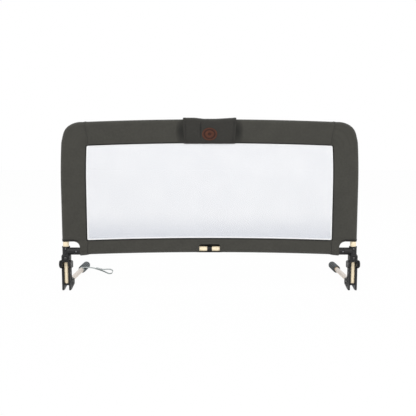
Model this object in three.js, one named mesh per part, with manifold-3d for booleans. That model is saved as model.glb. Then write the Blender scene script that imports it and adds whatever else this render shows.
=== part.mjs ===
// Folding bed guard rail for a child's bed, in millimetres.
// X runs along the bed, Y away from the viewer towards the mattress and Z up.
// The pieces are laid out from the floor under the middle of the guard's tubes, and the finished
// group is then moved along Y so that its origin lies under the middle of the footprint.

import * as THREE from 'three';
import { mergeVertices } from 'three/addons/utils/BufferGeometryUtils.js';
import Module from 'manifold-3d';

// Overall sizes of the guard
const coverWidth = 1200;
const cornerTubeHeight = 671;
const lowerRailHeight = 162;
const topRailRise = 10.5;
const lowerRailRise = 10;

// Clearances: between touching solids, round a tube in its bore, and the overrun of a cut
const seatGap = 0.3;
const boreGap = 0.6;
const overrun = 5;

// Steel tubes
const frameTubeRadius = 12;
const railTubeRadius = 10;
const armTubeRadius = 10;
const tubeWall = 1.2;
const cornerBend = 73;
const cornerRunOut = 8;
const tubeSides = 16;
const bendSteps = 7;
const railSteps = 5;

// Fabric cover: sleeves round the tubes that taper to a double layer at the window
const sleeveRadius = 14;
const lowerSleeveRadius = 14.5;
const layerThickness = 4;
const sideBandWidth = 102;
const topBandReach = 81;
const lowerBandReach = 46;
const sideBandBottom = 204;
const cutOutRadius = 28;
const cutOutReach = 60;
const openingHalfWidth = 45;
const openingTop = 12;

// Mesh window and its edging
const edgingWidth = 5;
const edgingThickness = 5;
const meshThickness = 1.4;

// Flap over the joint in the top rail, and the leather patch on it
const flapHalfWidth = 106;
const flapOffset = 0.6;
const flapThickness = 1.8;
const flapBackReach = 34;
const patchHalfWidth = 30.5;
const patchHalfHeight = 25;
const patchThickness = 2;
const patchDrop = 45;

// Rail connectors
const connectorReach = 45;
const topCollarHalfWidth = 6;
const lowerCollarHalfWidth = 9.3;
const lowerCollarRadius = 12.5;

// Corner block: base, collar round the side tube and branch round the lower rail
const blockBottom = 120;
const blockHalfWidth = 17;
const blockDepth = 36;
const blockHeight = 26;
const collarRadius = 15.2;
const collarTop = 182;
const branchRadius = 15;
const tubeSeatAbove = 4;
const railInset = 30;
const railPocketInset = 22;
const blockCorner = 4;
const cornerSteps = 3;
const lugRoot = 1.5;
const roundSides = 20;
const sleeveSides = 20;
const sleeveSteps = 9;

// Hinge at the foot of the corner block
const pivotHeight = 112;
const pivotForward = 18;
const lugRadius = 12;
const lugInner = 11;
const lugOuter = 16.8;
const pinRadius = 4;
const pinBlindEnd = 2;

// Release button and its spring
const buttonHalfWidth = 6.5;
const buttonHalfHeight = 6.5;
const buttonHeight = 134;
const buttonProud = 1;
const buttonDepth = 11;
const buttonTravel = 3.5;
const buttonDishRadius = 24;
const buttonDishDepth = 1;
const springRadius = 3.6;
const springWireRadius = 0.8;
const springLength = 12;
const springTurns = 5;
const springSteps = 8;
const springSides = 5;

// Screws that hold the tubes in the corner block
const screwHeadRadius = 3.4;
const screwHeadHeight = 1.6;
const screwShankRadius = 1.6;
const screwShankLength = 8;
const collarScrewRise = 9;
const branchScrewInset = 43;

// Bracket that holds the upright tube and the arm, and stands on the floor
const bracketHalfWidth = 17.5;
const bracketFront = 14;
const bracketBack = 16;
const bracketTop = 96;
const shoulderFront = 3;
const slotHalfWidth = 8.5;
const lipDepth = 7;
const footLength = 24;
const footChamfer = 3;
const earSlope = 2;
const gussetReach = 65;
const gussetRearBottom = 11;
const gussetRearTop = 35;
const gussetFrontTop = 50;
const frontBarBottom = 22;
const frontBarTop = 28;
const frontBarDepth = 6;
const armPassageTop = 54;
const recessDepth = 2.5;
const recessRim = 6;
const earOuter = 24;
const earRadius = 14;
const earBottom = 93;
const earFrom = 235;
const rivetRadius = 3;
const rivetHeight = 72;
const armRivetAt = 40;
const rivetHeadRadius = 5;
const rivetHeadHeight = 2;

// Upright tube in the bracket, closed by a cap at its foot
const uprightTop = 117;
const capHeight = 7.5;
const capSpigot = 12;
const capRound = 2;

// Arm under the mattress, with its foam grip
const armHeight = 27;
const armReach = 408;
const gripRadius = 17;
const gripLength = 107;
const gripLift = 0.4;
const gripRibs = 14;
const gripRibDepth = 1;
const plugFlange = 3;
const plugReach = 18;

// Strap on the left arm
const webbingWidth = 15;
const webbingThickness = 1.5;
const strapSteps = 44;
const strapReach = 10;

// Worked-out places
const legX = coverWidth / 2 - sleeveRadius;
const archStartX = legX - cornerBend - cornerRunOut;
const windowHalfWidth = coverWidth / 2 - sideBandWidth;
const blockTop = blockBottom + blockHeight;
const shoulderTop = blockBottom - seatGap;
const uprightBottom = frontBarTop + seatGap + capHeight + seatGap;
const branchReach = cutOutReach - seatGap;
const blockFront = blockDepth / 2;
const cutOutX = legX - cutOutReach;
const armEndHeight = gripRadius + gripLift;
const strapBandAt = armReach - gripLength - seatGap - webbingWidth / 2;
const layerHalf = layerThickness / 2;

const wasm = await Module();
wasm.setup();

// A closed manifold from a three.js geometry
function solid(geometry) {
  const bare = geometry.clone();
  bare.deleteAttribute('normal');
  bare.deleteAttribute('uv');
  const merged = mergeVertices(bare);
  return new wasm.Manifold(new wasm.Mesh({
    numProp: 3,
    vertProperties: merged.attributes.position.array,
    triVerts: Uint32Array.from(merged.index.array),
  }));
}

// The geometry of a manifold
function geometryOf(manifold) {
  const mesh = manifold.getMesh();
  const geometry = new THREE.BufferGeometry();
  geometry.setAttribute('position', new THREE.BufferAttribute(mesh.vertProperties, 3));
  geometry.setIndex(new THREE.BufferAttribute(mesh.triVerts, 1));
  geometry.computeVertexNormals();
  return geometry;
}

// Joins all the shapes and then takes the cuts out of them
function shaped(shapes, cuts = []) {
  let body = solid(shapes[0]);
  shapes.slice(1).forEach((shape) => {
    body = body.add(solid(shape));
  });
  cuts.forEach((cut) => {
    body = body.subtract(solid(cut));
  });
  return geometryOf(body);
}

// The mirror image of a geometry across the guard's middle
function mirrored(geometry) {
  const copy = geometry.index ? geometry.toNonIndexed() : geometry.clone();
  copy.applyMatrix4(new THREE.Matrix4().makeScale(-1, 1, 1));
  const position = copy.attributes.position;
  for (let first = 0; first < position.count; first += 3) {
    const swap = new THREE.Vector3().fromBufferAttribute(position, first);
    position.copyAt(first, position, first + 2);
    position.setXYZ(first + 2, swap.x, swap.y, swap.z);
  }
  copy.computeVertexNormals();
  return copy;
}

// Points round a circle
function circlePoints(radius, sides, centreX = 0, centreY = 0) {
  const points = [];
  for (let i = 0; i < sides; i += 1) {
    const angle = (2 * Math.PI * i) / sides;
    points.push(new THREE.Vector2(
      centreX + radius * Math.cos(angle),
      centreY + radius * Math.sin(angle),
    ));
  }
  return points;
}

// Points along an arc, with angles in degrees
function arcPoints(radius, from, to, steps, centreX = 0, centreY = 0) {
  const points = [];
  for (let i = 0; i <= steps; i += 1) {
    const angle = THREE.MathUtils.degToRad(from + ((to - from) * i) / steps);
    points.push(new THREE.Vector2(
      centreX + radius * Math.cos(angle),
      centreY + radius * Math.sin(angle),
    ));
  }
  return points;
}

function pairs(list) {
  return list.map((pair) => new THREE.Vector2(pair[0], pair[1]));
}

// A block between two corners
function block(x0, x1, y0, y1, z0, z1) {
  const geometry = new THREE.BoxGeometry(x1 - x0, y1 - y0, z1 - z0);
  geometry.translate((x0 + x1) / 2, (y0 + y1) / 2, (z0 + z1) / 2);
  return geometry;
}

// A prism of an outline in X and Y, upright between two heights
function uprightPrism(outline, z0, z1) {
  const geometry = new THREE.ExtrudeGeometry(new THREE.Shape(outline), {
    depth: z1 - z0,
    bevelEnabled: false,
    steps: 1,
  });
  geometry.translate(0, 0, z0);
  return geometry;
}

// A prism of an outline in X and Z, from one Y to another
function facingPrism(outline, y0, y1, holes = []) {
  const shape = new THREE.Shape(outline);
  holes.forEach((hole) => {
    shape.holes.push(new THREE.Path(hole));
  });
  const geometry = new THREE.ExtrudeGeometry(shape, {
    depth: y1 - y0,
    bevelEnabled: false,
    steps: 1,
  });
  geometry.rotateX(Math.PI / 2);
  geometry.translate(0, y1, 0);
  return geometry;
}

// A prism of an outline in Y and Z, from one X to another
function sidewaysPrism(outline, x0, x1) {
  const geometry = uprightPrism(outline, x0, x1);
  geometry.applyMatrix4(new THREE.Matrix4().set(0, 0, 1, 0, 1, 0, 0, 0, 0, 1, 0, 0, 0, 0, 0, 1));
  return geometry;
}

// Round rods along X, Y and Z
function rodX(radius, x0, x1, y, z, sides = roundSides) {
  return sidewaysPrism(circlePoints(radius, sides, y, z), x0, x1);
}

function rodY(radius, y0, y1, x, z, sides = roundSides) {
  return facingPrism(circlePoints(radius, sides, x, z), y0, y1);
}

function rodZ(radius, z0, z1, x, y, sides = roundSides) {
  return uprightPrism(circlePoints(radius, sides, x, y), z0, z1);
}

// A route in one plane, given by chosen stops; the section's x lies along the plane's normal
class Route extends THREE.Curve {
  constructor(stops, side) {
    super();
    this.stops = stops;
    this.side = side;
  }

  stopAt(share) {
    return this.stops[Math.round(share * (this.stops.length - 1))];
  }

  getPointAt(share, target = new THREE.Vector3()) {
    return target.copy(this.stopAt(share).point);
  }

  computeFrenetFrames() {
    return {
      tangents: this.stops.map((stop) => stop.tangent),
      normals: this.stops.map(() => this.side),
      binormals: this.stops.map((stop) => stop.tangent.clone().cross(this.side)),
    };
  }
}

// Stops along straight runs between corners, with a round bend where a corner has a radius
function bentStops(corners, radii) {
  const stops = [];
  corners.forEach((corner, i) => {
    const into = i > 0 ? corner.clone().sub(corners[i - 1]).normalize() : null;
    const out = i < corners.length - 1 ? corners[i + 1].clone().sub(corner).normalize() : null;
    if (!into || !out) {
      stops.push({ point: corner, tangent: into || out });
      return;
    }
    if (!radii[i]) {
      stops.push({ point: corner, tangent: into.clone().add(out).normalize() });
      return;
    }
    const turn = into.angleTo(out);
    const inward = out.clone().addScaledVector(into, -into.dot(out)).normalize();
    const start = corner.clone().addScaledVector(into, -radii[i] * Math.tan(turn / 2));
    const centre = start.clone().addScaledVector(inward, radii[i]);
    for (let step = 0; step <= bendSteps; step += 1) {
      const angle = (turn * step) / bendSteps;
      const point = centre.clone();
      point.addScaledVector(inward, -radii[i] * Math.cos(angle));
      point.addScaledVector(into, radii[i] * Math.sin(angle));
      const tangent = into.clone().multiplyScalar(Math.cos(angle));
      tangent.addScaledVector(inward, Math.sin(angle));
      stops.push({ point, tangent });
    }
  });
  return stops;
}

// A section swept along a route, with a hole in it where inner points are given
function swept(section, stops, side, inner = null) {
  const shape = new THREE.Shape(section);
  if (inner) {
    shape.holes.push(new THREE.Path(inner));
  }
  return new THREE.ExtrudeGeometry(shape, {
    steps: stops.length - 1,
    bevelEnabled: false,
    extrudePath: new Route(stops, side),
  });
}

function hollowTube(radius, stops, side) {
  return swept(circlePoints(radius, tubeSides), stops, side, circlePoints(radius - tubeWall, tubeSides));
}

// The height of the top and lower rails: level at the ends and a little higher at the middle
function topRailAt(x) {
  return cornerTubeHeight + topRailRise * Math.max(0, 1 - (x / archStartX) ** 2);
}

function lowerRailAt(x) {
  return lowerRailHeight + lowerRailRise * Math.max(0, 1 - (x / cutOutX) ** 2);
}

// Places along one half of a rail, from the outer end towards the middle
function railPlaces(from, to, steps) {
  const places = [];
  for (let i = 0; i <= steps; i += 1) {
    places.push(from + ((to - from) * i) / steps);
  }
  return places;
}

const alongY = new THREE.Vector3(0, 1, 0);
const alongX = new THREE.Vector3(1, 0, 0);
// The guard stands over the left bracket at this x; offsets towards the middle are positive
const leftX = -legX;

// Routes of the left-hand tubes
function frameTubeStops() {
  const corners = [
    new THREE.Vector3(leftX, 0, blockBottom + blockHeight + tubeSeatAbove + seatGap),
    new THREE.Vector3(leftX, 0, cornerTubeHeight),
  ];
  railPlaces(-archStartX, -topCollarHalfWidth, railSteps).forEach((x) => {
    corners.push(new THREE.Vector3(x, 0, topRailAt(x)));
  });
  return bentStops(corners, [0, cornerBend]);
}

// Stops of a cover band, whose sections stand upright so that its ends meet the side bands flat
function bandStops(heightAt) {
  return railPlaces(-bandHalf, bandHalf, 2 * railSteps).map((x) => ({
    point: new THREE.Vector3(x, 0, heightAt(x)),
    tangent: alongX,
  }));
}

function lowerRailStops() {
  const corners = [new THREE.Vector3(leftX + railInset, 0, lowerRailAt(cutOutX))];
  railPlaces(-cutOutX, -lowerCollarHalfWidth - seatGap, railSteps).forEach((x) => {
    corners.push(new THREE.Vector3(x, 0, lowerRailAt(x)));
  });
  return bentStops(corners, []);
}

const armSlope = Math.atan2(armHeight - armEndHeight, armReach);
const armLength = Math.hypot(armHeight - armEndHeight, armReach);

// Puts a shape that was made along Y from the origin onto the left arm
function ontoArm(geometry) {
  geometry.rotateX(-armSlope);
  geometry.translate(leftX, 0, armHeight);
  return geometry;
}

// The height of the arm's axis at a distance behind the guard
function armAxisAt(y) {
  return armHeight - y * Math.tan(armSlope);
}

// Screw holes in the tubes and the block
const collarScrewHeight = blockTop + (collarTop - blockTop) / 2 + collarScrewRise;
const branchScrewX = leftX + branchScrewInset;

function screw(x, z, surface) {
  const under = -surface + screwHeadHeight;
  return shaped([
    rodY(screwHeadRadius, -surface, under, x, z),
    rodY(screwShankRadius, -surface, under + screwShankLength, x, z),
  ]);
}

function screwBore(x, z, surface) {
  const floor = -surface + screwHeadHeight + seatGap;
  return [
    rodY(screwHeadRadius + seatGap, -surface - overrun, floor, x, z),
    rodY(screwShankRadius + seatGap, -surface, floor + screwShankLength, x, z),
  ];
}

const collarScrew = [leftX, collarScrewHeight, collarRadius];
const branchScrew = [branchScrewX, lowerRailHeight, branchRadius];

// Side tube with its half of the top rail, bent in one piece
function frameTube() {
  return shaped([hollowTube(frameTubeRadius, frameTubeStops(), alongY)], screwBore(...collarScrew));
}

// Half of the lower rail
function railTube() {
  return shaped([hollowTube(railTubeRadius, lowerRailStops(), alongY)], screwBore(...branchScrew));
}

// Plug that joins two rail halves, with a collar between their ends
function connector(tubeRadius, middleRadius, middleHalf, height) {
  const plugRadius = tubeRadius - tubeWall - seatGap;
  return shaped([
    rodX(plugRadius, -connectorReach, connectorReach, 0, height),
    rodX(middleRadius, -middleHalf, middleHalf, 0, height),
  ]);
}

// Corner block, moulded in one piece with its collar, branch and two hinge lugs
function roundedOutline(halfWidth, halfDepth, radius, centreX, centreY) {
  const x = halfWidth - radius;
  const y = halfDepth - radius;
  return [
    ...arcPoints(radius, 0, 90, cornerSteps, centreX + x, centreY + y),
    ...arcPoints(radius, 90, 180, cornerSteps, centreX - x, centreY + y),
    ...arcPoints(radius, 180, 270, cornerSteps, centreX - x, centreY - y),
    ...arcPoints(radius, 270, 360, cornerSteps, centreX + x, centreY - y),
  ];
}

const buttonBack = -blockFront - buttonProud + buttonDepth;
const pocketBack = buttonBack + buttonTravel + seatGap;
const springBack = buttonBack + seatGap + springLength;

function cornerBlock() {
  const lug = [
    ...arcPoints(lugRadius, 180, 360, bendSteps, -pivotForward, pivotHeight),
    ...pairs([
      [lugRadius - pivotForward, blockBottom + lugRoot],
      [-blockFront, blockBottom + lugRoot],
    ]),
  ];
  const shapes = [
    uprightPrism(
      roundedOutline(blockHalfWidth, blockDepth / 2, blockCorner, leftX, 0),
      blockBottom,
      blockTop,
    ),
    rodZ(collarRadius, blockTop - lugRoot, collarTop, leftX, 0),
    rodX(branchRadius, leftX, leftX + branchReach, 0, lowerRailHeight),
    sidewaysPrism(lug, leftX + lugInner, leftX + lugOuter),
    sidewaysPrism(lug, leftX - lugOuter, leftX - lugInner),
  ];
  const pocketHalf = buttonHalfWidth + seatGap;
  const pinBore = pinRadius + seatGap;
  const pinEnd = lugInner + pinBlindEnd;
  const cuts = [
    rodZ(frameTubeRadius + boreGap, blockTop + tubeSeatAbove, collarTop + overrun, leftX, 0),
    rodX(
      railTubeRadius + boreGap,
      leftX + railPocketInset,
      leftX + branchReach + overrun,
      0,
      lowerRailHeight,
    ),
    block(
      leftX - pocketHalf,
      leftX + pocketHalf,
      -blockFront - overrun,
      pocketBack,
      buttonHeight - buttonHalfHeight - seatGap,
      buttonHeight + buttonHalfHeight + seatGap,
    ),
    rodY(
      springRadius + springWireRadius + boreGap,
      buttonBack,
      springBack + seatGap,
      leftX,
      buttonHeight,
    ),
    rodX(pinBore, leftX + pinEnd, leftX + lugOuter + overrun, -pivotForward, pivotHeight),
    rodX(pinBore, leftX - lugOuter - overrun, leftX - pinEnd, -pivotForward, pivotHeight),
    ...screwBore(...collarScrew),
    ...screwBore(...branchScrew),
  ];
  return shaped(shapes, cuts);
}

// Release button: a square cap with a shallow finger dish
function releaseButton() {
  const front = -blockFront - buttonProud;
  const dish = new THREE.SphereGeometry(buttonDishRadius, roundSides, roundSides / 2);
  dish.translate(leftX, front - buttonDishRadius + buttonDishDepth, buttonHeight);
  return shaped([block(
    leftX - buttonHalfWidth,
    leftX + buttonHalfWidth,
    front,
    buttonBack,
    buttonHeight - buttonHalfHeight,
    buttonHeight + buttonHalfHeight,
  )], [dish]);
}

// Coil spring behind the button
class Coil extends THREE.Curve {
  getPoint(share, target = new THREE.Vector3()) {
    const angle = 2 * Math.PI * springTurns * share;
    const along = springLength - 2 * springWireRadius;
    return target.set(
      leftX + springRadius * Math.cos(angle),
      buttonBack + seatGap + springWireRadius + along * share,
      buttonHeight + springRadius * Math.sin(angle),
    );
  }
}

function buttonSpring() {
  return new THREE.ExtrudeGeometry(new THREE.Shape(circlePoints(springWireRadius, springSides)), {
    steps: springTurns * springSteps,
    bevelEnabled: false,
    extrudePath: new Coil(),
  });
}

// Hinge pins, pressed into the ears and free in the lugs
function hingePin(from, to) {
  return rodX(pinRadius, leftX + from, leftX + to, -pivotForward, pivotHeight);
}

// Bracket: two side walls with gussets and ears, joined by a back wall, front lips and a bar.
// The block rests on the tops of the walls when the guard is upright.
const cavityHalf = armTubeRadius + boreGap;

function bracket() {
  const wall = pairs([
    [-bracketFront, footChamfer],
    [footChamfer - bracketFront, 0],
    [footLength - bracketFront, 0],
    [gussetReach, gussetRearBottom],
    [gussetReach, gussetRearTop],
    [bracketBack, gussetFrontTop],
    [bracketBack, shoulderTop],
    [-shoulderFront, shoulderTop],
    [-shoulderFront, bracketTop],
    [-bracketFront, bracketTop],
  ]);
  const ear = [
    ...arcPoints(earRadius, earFrom, 90, bendSteps, -pivotForward, pivotHeight),
    ...pairs([
      [0, pivotHeight + earRadius - earSlope],
      [bracketBack, shoulderTop - earSlope],
      [bracketBack, earBottom],
      [-bracketFront, earBottom],
    ]),
  ];
  const earRoot = pairs([
    [-bracketFront, earBottom],
    [bracketBack, earBottom],
    [bracketBack, shoulderTop - earSlope],
    [-shoulderFront, shoulderTop - earSlope],
    [-shoulderFront, bracketTop],
    [-bracketFront, bracketTop],
  ]);
  const recess = pairs([
    [-bracketFront + recessRim, footLength / 2 - recessRim / 2],
    [gussetReach - recessRim, gussetRearBottom + recessRim],
    [gussetReach - recessRim, gussetRearTop - recessRim],
    [bracketBack - recessRim, gussetFrontTop - recessRim],
    [bracketBack - recessRim, earBottom - recessRim],
    [-bracketFront + recessRim, earBottom - recessRim],
  ]);
  const earInner = blockHalfWidth + boreGap;
  const shapes = [
    sidewaysPrism(wall, leftX + cavityHalf, leftX + bracketHalfWidth),
    sidewaysPrism(wall, leftX - bracketHalfWidth, leftX - cavityHalf),
    sidewaysPrism(ear, leftX + earInner, leftX + earOuter),
    sidewaysPrism(ear, leftX - earOuter, leftX - earInner),
    sidewaysPrism(earRoot, leftX + cavityHalf, leftX + earOuter),
    sidewaysPrism(earRoot, leftX - earOuter, leftX - cavityHalf),
    block(
      leftX - bracketHalfWidth,
      leftX + bracketHalfWidth,
      cavityHalf,
      bracketBack,
      armPassageTop,
      shoulderTop,
    ),
    block(
      leftX - bracketHalfWidth,
      leftX - slotHalfWidth,
      -bracketFront,
      -lipDepth,
      frontBarBottom,
      bracketTop,
    ),
    block(
      leftX + slotHalfWidth,
      leftX + bracketHalfWidth,
      -bracketFront,
      -lipDepth,
      frontBarBottom,
      bracketTop,
    ),
    block(
      leftX - bracketHalfWidth,
      leftX + bracketHalfWidth,
      -bracketFront,
      frontBarDepth - bracketFront,
      frontBarBottom,
      frontBarTop,
    ),
  ];
  const pinBore = pinRadius + seatGap;
  const rivetBore = rivetRadius + seatGap;
  const recessFloor = bracketHalfWidth - recessDepth;
  const cuts = [
    rodX(pinBore, leftX - earOuter - overrun, leftX - lugInner, -pivotForward, pivotHeight),
    rodX(pinBore, leftX + lugInner, leftX + earOuter + overrun, -pivotForward, pivotHeight),
    rodX(rivetBore, leftX - earOuter, leftX + earOuter, 0, rivetHeight),
    rodX(rivetBore, leftX - earOuter, leftX + earOuter, armRivetAt, armAxisAt(armRivetAt)),
    sidewaysPrism(recess, leftX + recessFloor, leftX + bracketHalfWidth + overrun),
    sidewaysPrism(recess, leftX - bracketHalfWidth - overrun, leftX - recessFloor),
  ];
  return shaped(shapes, cuts);
}

// Rivet through the bracket's walls and a tube, with its heads in the walls' recesses
function rivet(y, z) {
  const reach = bracketHalfWidth - recessDepth;
  return shaped([
    rodX(rivetRadius, leftX - reach - rivetHeadHeight, leftX + reach + rivetHeadHeight, y, z),
    rodX(rivetHeadRadius, leftX + reach + seatGap, leftX + reach + rivetHeadHeight, y, z),
    rodX(rivetHeadRadius, leftX - reach - rivetHeadHeight, leftX - reach - seatGap, y, z),
  ]);
}

function rivetHole(y, z) {
  return rodX(rivetRadius + seatGap, leftX - bracketHalfWidth, leftX + bracketHalfWidth, y, z);
}

// Upright tube in the bracket's channel
function uprightTube() {
  return shaped(
    [rodZ(armTubeRadius, uprightBottom, uprightTop, leftX, 0, tubeSides)],
    [
      rodZ(
        armTubeRadius - tubeWall,
        uprightBottom - overrun,
        uprightTop + overrun,
        leftX,
        0,
        tubeSides,
      ),
      rivetHole(0, rivetHeight),
    ],
  );
}

// Cap in the foot of the upright tube, which stands on the front bar
function uprightCap() {
  const foot = frontBarTop + seatGap;
  const spigotRadius = armTubeRadius - tubeWall - seatGap;
  const profile = pairs([
    [0, foot],
    [armTubeRadius - capRound, foot],
    [armTubeRadius, foot + capRound],
    [armTubeRadius, foot + capHeight],
    [spigotRadius, foot + capHeight],
    [spigotRadius, foot + capHeight + capSpigot],
    [0, foot + capHeight + capSpigot],
  ]);
  const cap = new THREE.LatheGeometry(profile, tubeSides);
  cap.rotateX(Math.PI / 2);
  cap.translate(leftX, 0, 0);
  return geometryOf(solid(cap));
}

// Arm tube, from behind the upright tube back under the mattress
function armTube() {
  const from = armTubeRadius + boreGap;
  const tube = shaped(
    [rodY(armTubeRadius, from, armLength, 0, 0, tubeSides)],
    [rodY(armTubeRadius - tubeWall, from - overrun, armLength + overrun, 0, 0, tubeSides)],
  );
  return shaped([ontoArm(tube)], [rivetHole(armRivetAt, armAxisAt(armRivetAt))]);
}

// Foam grip with grooves along it
function armGrip() {
  const outline = [];
  for (let i = 0; i < 2 * gripRibs; i += 1) {
    const radius = gripRadius - (i % 2) * gripRibDepth;
    const angle = (Math.PI * i) / gripRibs;
    outline.push(new THREE.Vector2(radius * Math.cos(angle), radius * Math.sin(angle)));
  }
  const hole = circlePoints(armTubeRadius + boreGap, tubeSides);
  return ontoArm(facingPrism(outline, armLength - gripLength, armLength, [hole]));
}

// Plug in the arm's open end
function armEndPlug() {
  return ontoArm(shaped([
    rodY(armTubeRadius - tubeWall - seatGap, armLength - plugReach, armLength + plugFlange, 0, 0),
    rodY(gripRadius - gripRibDepth, armLength + seatGap, armLength + plugFlange, 0, 0),
  ]));
}

// Strap: webbing sewn round the left arm in front of its grip, with a tail that falls to the floor
// in a sewn loop
const strapStart = leftX + armTubeRadius + strapReach;
const strapSide = new THREE.Vector3(0, 1, 0);

// Out from the band and up from the floor: down to the loop, round it and back
const strapRoute = [
  [0, 30.4], [10, 30.3], [20, 29.6], [30, 28.1], [40, 25.9], [50, 23.1], [60, 20], [70, 16.4],
  [80, 12.3], [90, 7.6], [98, 3.8], [106, 1.5], [114, 2.1], [120.4, 6], [122.8, 11.8],
  [119.6, 17.4], [112, 20.8], [103, 21.6], [94, 21.2], [87, 20.6], [80, 20.6], [74, 21],
  [68, 21.6], [62, 22.9], [56, 24.4], [51, 26], [47, 28],
];

function strapTail() {
  const curve = new THREE.CatmullRomCurve3(strapRoute.map((spot) => new THREE.Vector3(
    strapStart + spot[0],
    strapBandAt,
    spot[1],
  )), false, 'centripetal');
  const stops = [];
  for (let i = 0; i <= strapSteps; i += 1) {
    stops.push({
      point: curve.getPointAt(i / strapSteps),
      tangent: curve.getTangentAt(i / strapSteps),
    });
  }
  const halfWidth = webbingWidth / 2;
  const half = webbingThickness / 2;
  const section = pairs([
    [-halfWidth, -half], [halfWidth, -half], [halfWidth, half], [-halfWidth, half],
  ]);
  return swept(section, stops, strapSide);
}

function strapBand() {
  const from = strapBandAt - webbingWidth / 2;
  const to = strapBandAt + webbingWidth / 2;
  const inner = armTubeRadius + seatGap;
  const ring = rodY(inner + webbingThickness, from, to, 0, 0);
  const tab = block(
    -armTubeRadius - strapReach,
    -seatGap,
    -webbingWidth / 2,
    webbingWidth / 2,
    -webbingThickness,
    webbingThickness,
  );
  tab.translate(strapStart, strapBandAt, strapRoute[0][1]);
  const core = rodY(inner, from - webbingWidth, to + webbingWidth, 0, 0);
  return shaped([ontoArm(ring), tab], [ontoArm(core)]);
}

// Fabric: a round sleeve that tapers straight to two layers of cloth at the window.
// The outline is given across the cloth and away from the window.
function tentAngle(radius, half, reach) {
  const tip = Math.atan2(-reach, half);
  return THREE.MathUtils.radToDeg(tip + Math.acos(radius / Math.hypot(reach, half)));
}

function tent(radius, half, reach) {
  const start = tentAngle(radius, half, reach);
  return [
    ...arcPoints(radius, start, 180 - start, sleeveSteps),
    new THREE.Vector2(-half, -reach),
    new THREE.Vector2(half, -reach),
  ];
}

// The half width of a tent at a distance below its sleeve's middle
function tentHalfAt(radius, half, reach, drop) {
  const start = THREE.MathUtils.degToRad(tentAngle(radius, half, reach));
  const share = (drop + radius * Math.sin(start)) / (reach + radius * Math.sin(start));
  return THREE.MathUtils.lerp(radius * Math.cos(start), half, share);
}

const frameBore = circlePoints(frameTubeRadius + boreGap, tubeSides);
const railBore = circlePoints(railTubeRadius + boreGap, tubeSides);
const bandHalf = windowHalfWidth - seatGap;

function coverTopBand() {
  return swept(
    tent(sleeveRadius, layerHalf, topBandReach),
    bandStops(topRailAt),
    alongY,
    frameBore,
  );
}

// The lower band hangs round its rail with the window above; its front opens at the connector
function coverBottomBand() {
  const section = tent(lowerSleeveRadius, layerHalf, lowerBandReach).map((point) => point.negate());
  const middle = lowerRailAt(0);
  return shaped([swept(
    section,
    bandStops(lowerRailAt),
    alongY,
    railBore,
  )], [
    block(
      -openingHalfWidth,
      openingHalfWidth,
      -lowerSleeveRadius - overrun,
      0,
      middle - lowerSleeveRadius - overrun,
      middle + openingTop,
    ),
    rodX(
      lowerCollarRadius + boreGap,
      -lowerCollarHalfWidth - boreGap,
      lowerCollarHalfWidth + boreGap,
      0,
      middle,
    ),
  ]);
}

// Side band with its rounded top corner and the cut-out round the corner block
function coverSideBand() {
  const sideReach = legX - windowHalfWidth;
  const cornerRadius = cornerBend + sleeveRadius;
  const bendX = leftX + cornerBend;
  const bendZ = cornerTubeHeight - cornerBend;
  const bottom = lowerRailHeight - lowerSleeveRadius - boreGap;
  const top = cornerTubeHeight + sleeveRadius + boreGap;
  const outline = [
    ...pairs([[-windowHalfWidth, bottom], [-cutOutX, bottom]]),
    ...arcPoints(
      cutOutRadius,
      0,
      90,
      bendSteps,
      -cutOutX - cutOutRadius,
      sideBandBottom - cutOutRadius,
    ),
    ...pairs([[leftX - sleeveRadius, sideBandBottom]]),
    ...arcPoints(cornerRadius, 180, 90, bendSteps, bendX, bendZ),
    ...pairs([[bendX, top], [-windowHalfWidth, top]]),
  ];
  const upright = tent(sleeveRadius, layerHalf, sideReach).map((point) => (
    new THREE.Vector2(leftX - point.y, point.x)
  ));
  const level = tent(sleeveRadius, layerHalf, topBandReach).map((point) => (
    new THREE.Vector2(point.x, cornerTubeHeight + point.y)
  ));
  const lower = tent(lowerSleeveRadius, layerHalf, lowerBandReach).map((point) => (
    new THREE.Vector2(point.x, lowerRailHeight - point.y)
  ));
  const frameStops = frameTubeStops();
  const lowerStops = lowerRailStops();
  const body = [
    uprightPrism(upright, bottom, top),
    sidewaysPrism(level, leftX, -windowHalfWidth + overrun),
    sidewaysPrism(lower, -cutOutX - overrun, -windowHalfWidth + overrun),
    swept(circlePoints(sleeveRadius, sleeveSides), frameStops, alongY),
    swept(circlePoints(lowerSleeveRadius, sleeveSides), lowerStops, alongY),
  ].map(solid).reduce((joined, next) => joined.add(next));
  const kept = body.intersect(solid(facingPrism(outline, -coverWidth, coverWidth)));
  const open = kept
    .subtract(solid(swept(frameBore, frameStops, alongY)))
    .subtract(solid(swept(railBore, lowerStops, alongY)));
  return geometryOf(open);
}

// Window outline, drawn in by a margin from the cloth's edge
function windowOutline(margin) {
  const half = windowHalfWidth - margin;
  const places = railPlaces(-half, half, 2 * railSteps);
  const lower = places.map((x) => new THREE.Vector2(x, lowerRailAt(x) + lowerBandReach + margin));
  const upper = places.map((x) => new THREE.Vector2(x, topRailAt(x) - topBandReach - margin));
  return [...lower, ...upper.reverse()];
}

function windowEdging() {
  const hole = windowOutline(seatGap + edgingWidth);
  const half = edgingThickness / 2;
  return facingPrism(windowOutline(seatGap), -half, half, [hole]);
}

function meshPanel() {
  const half = meshThickness / 2;
  return facingPrism(windowOutline(2 * seatGap + edgingWidth), -half, half);
}

// Flap over the joint in the top rail
const flapInner = sleeveRadius + flapOffset;
const flapOuter = flapInner + flapThickness;
const flapInnerHalf = layerHalf + flapOffset;
const flapOuterHalf = flapInnerHalf + flapThickness;

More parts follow.
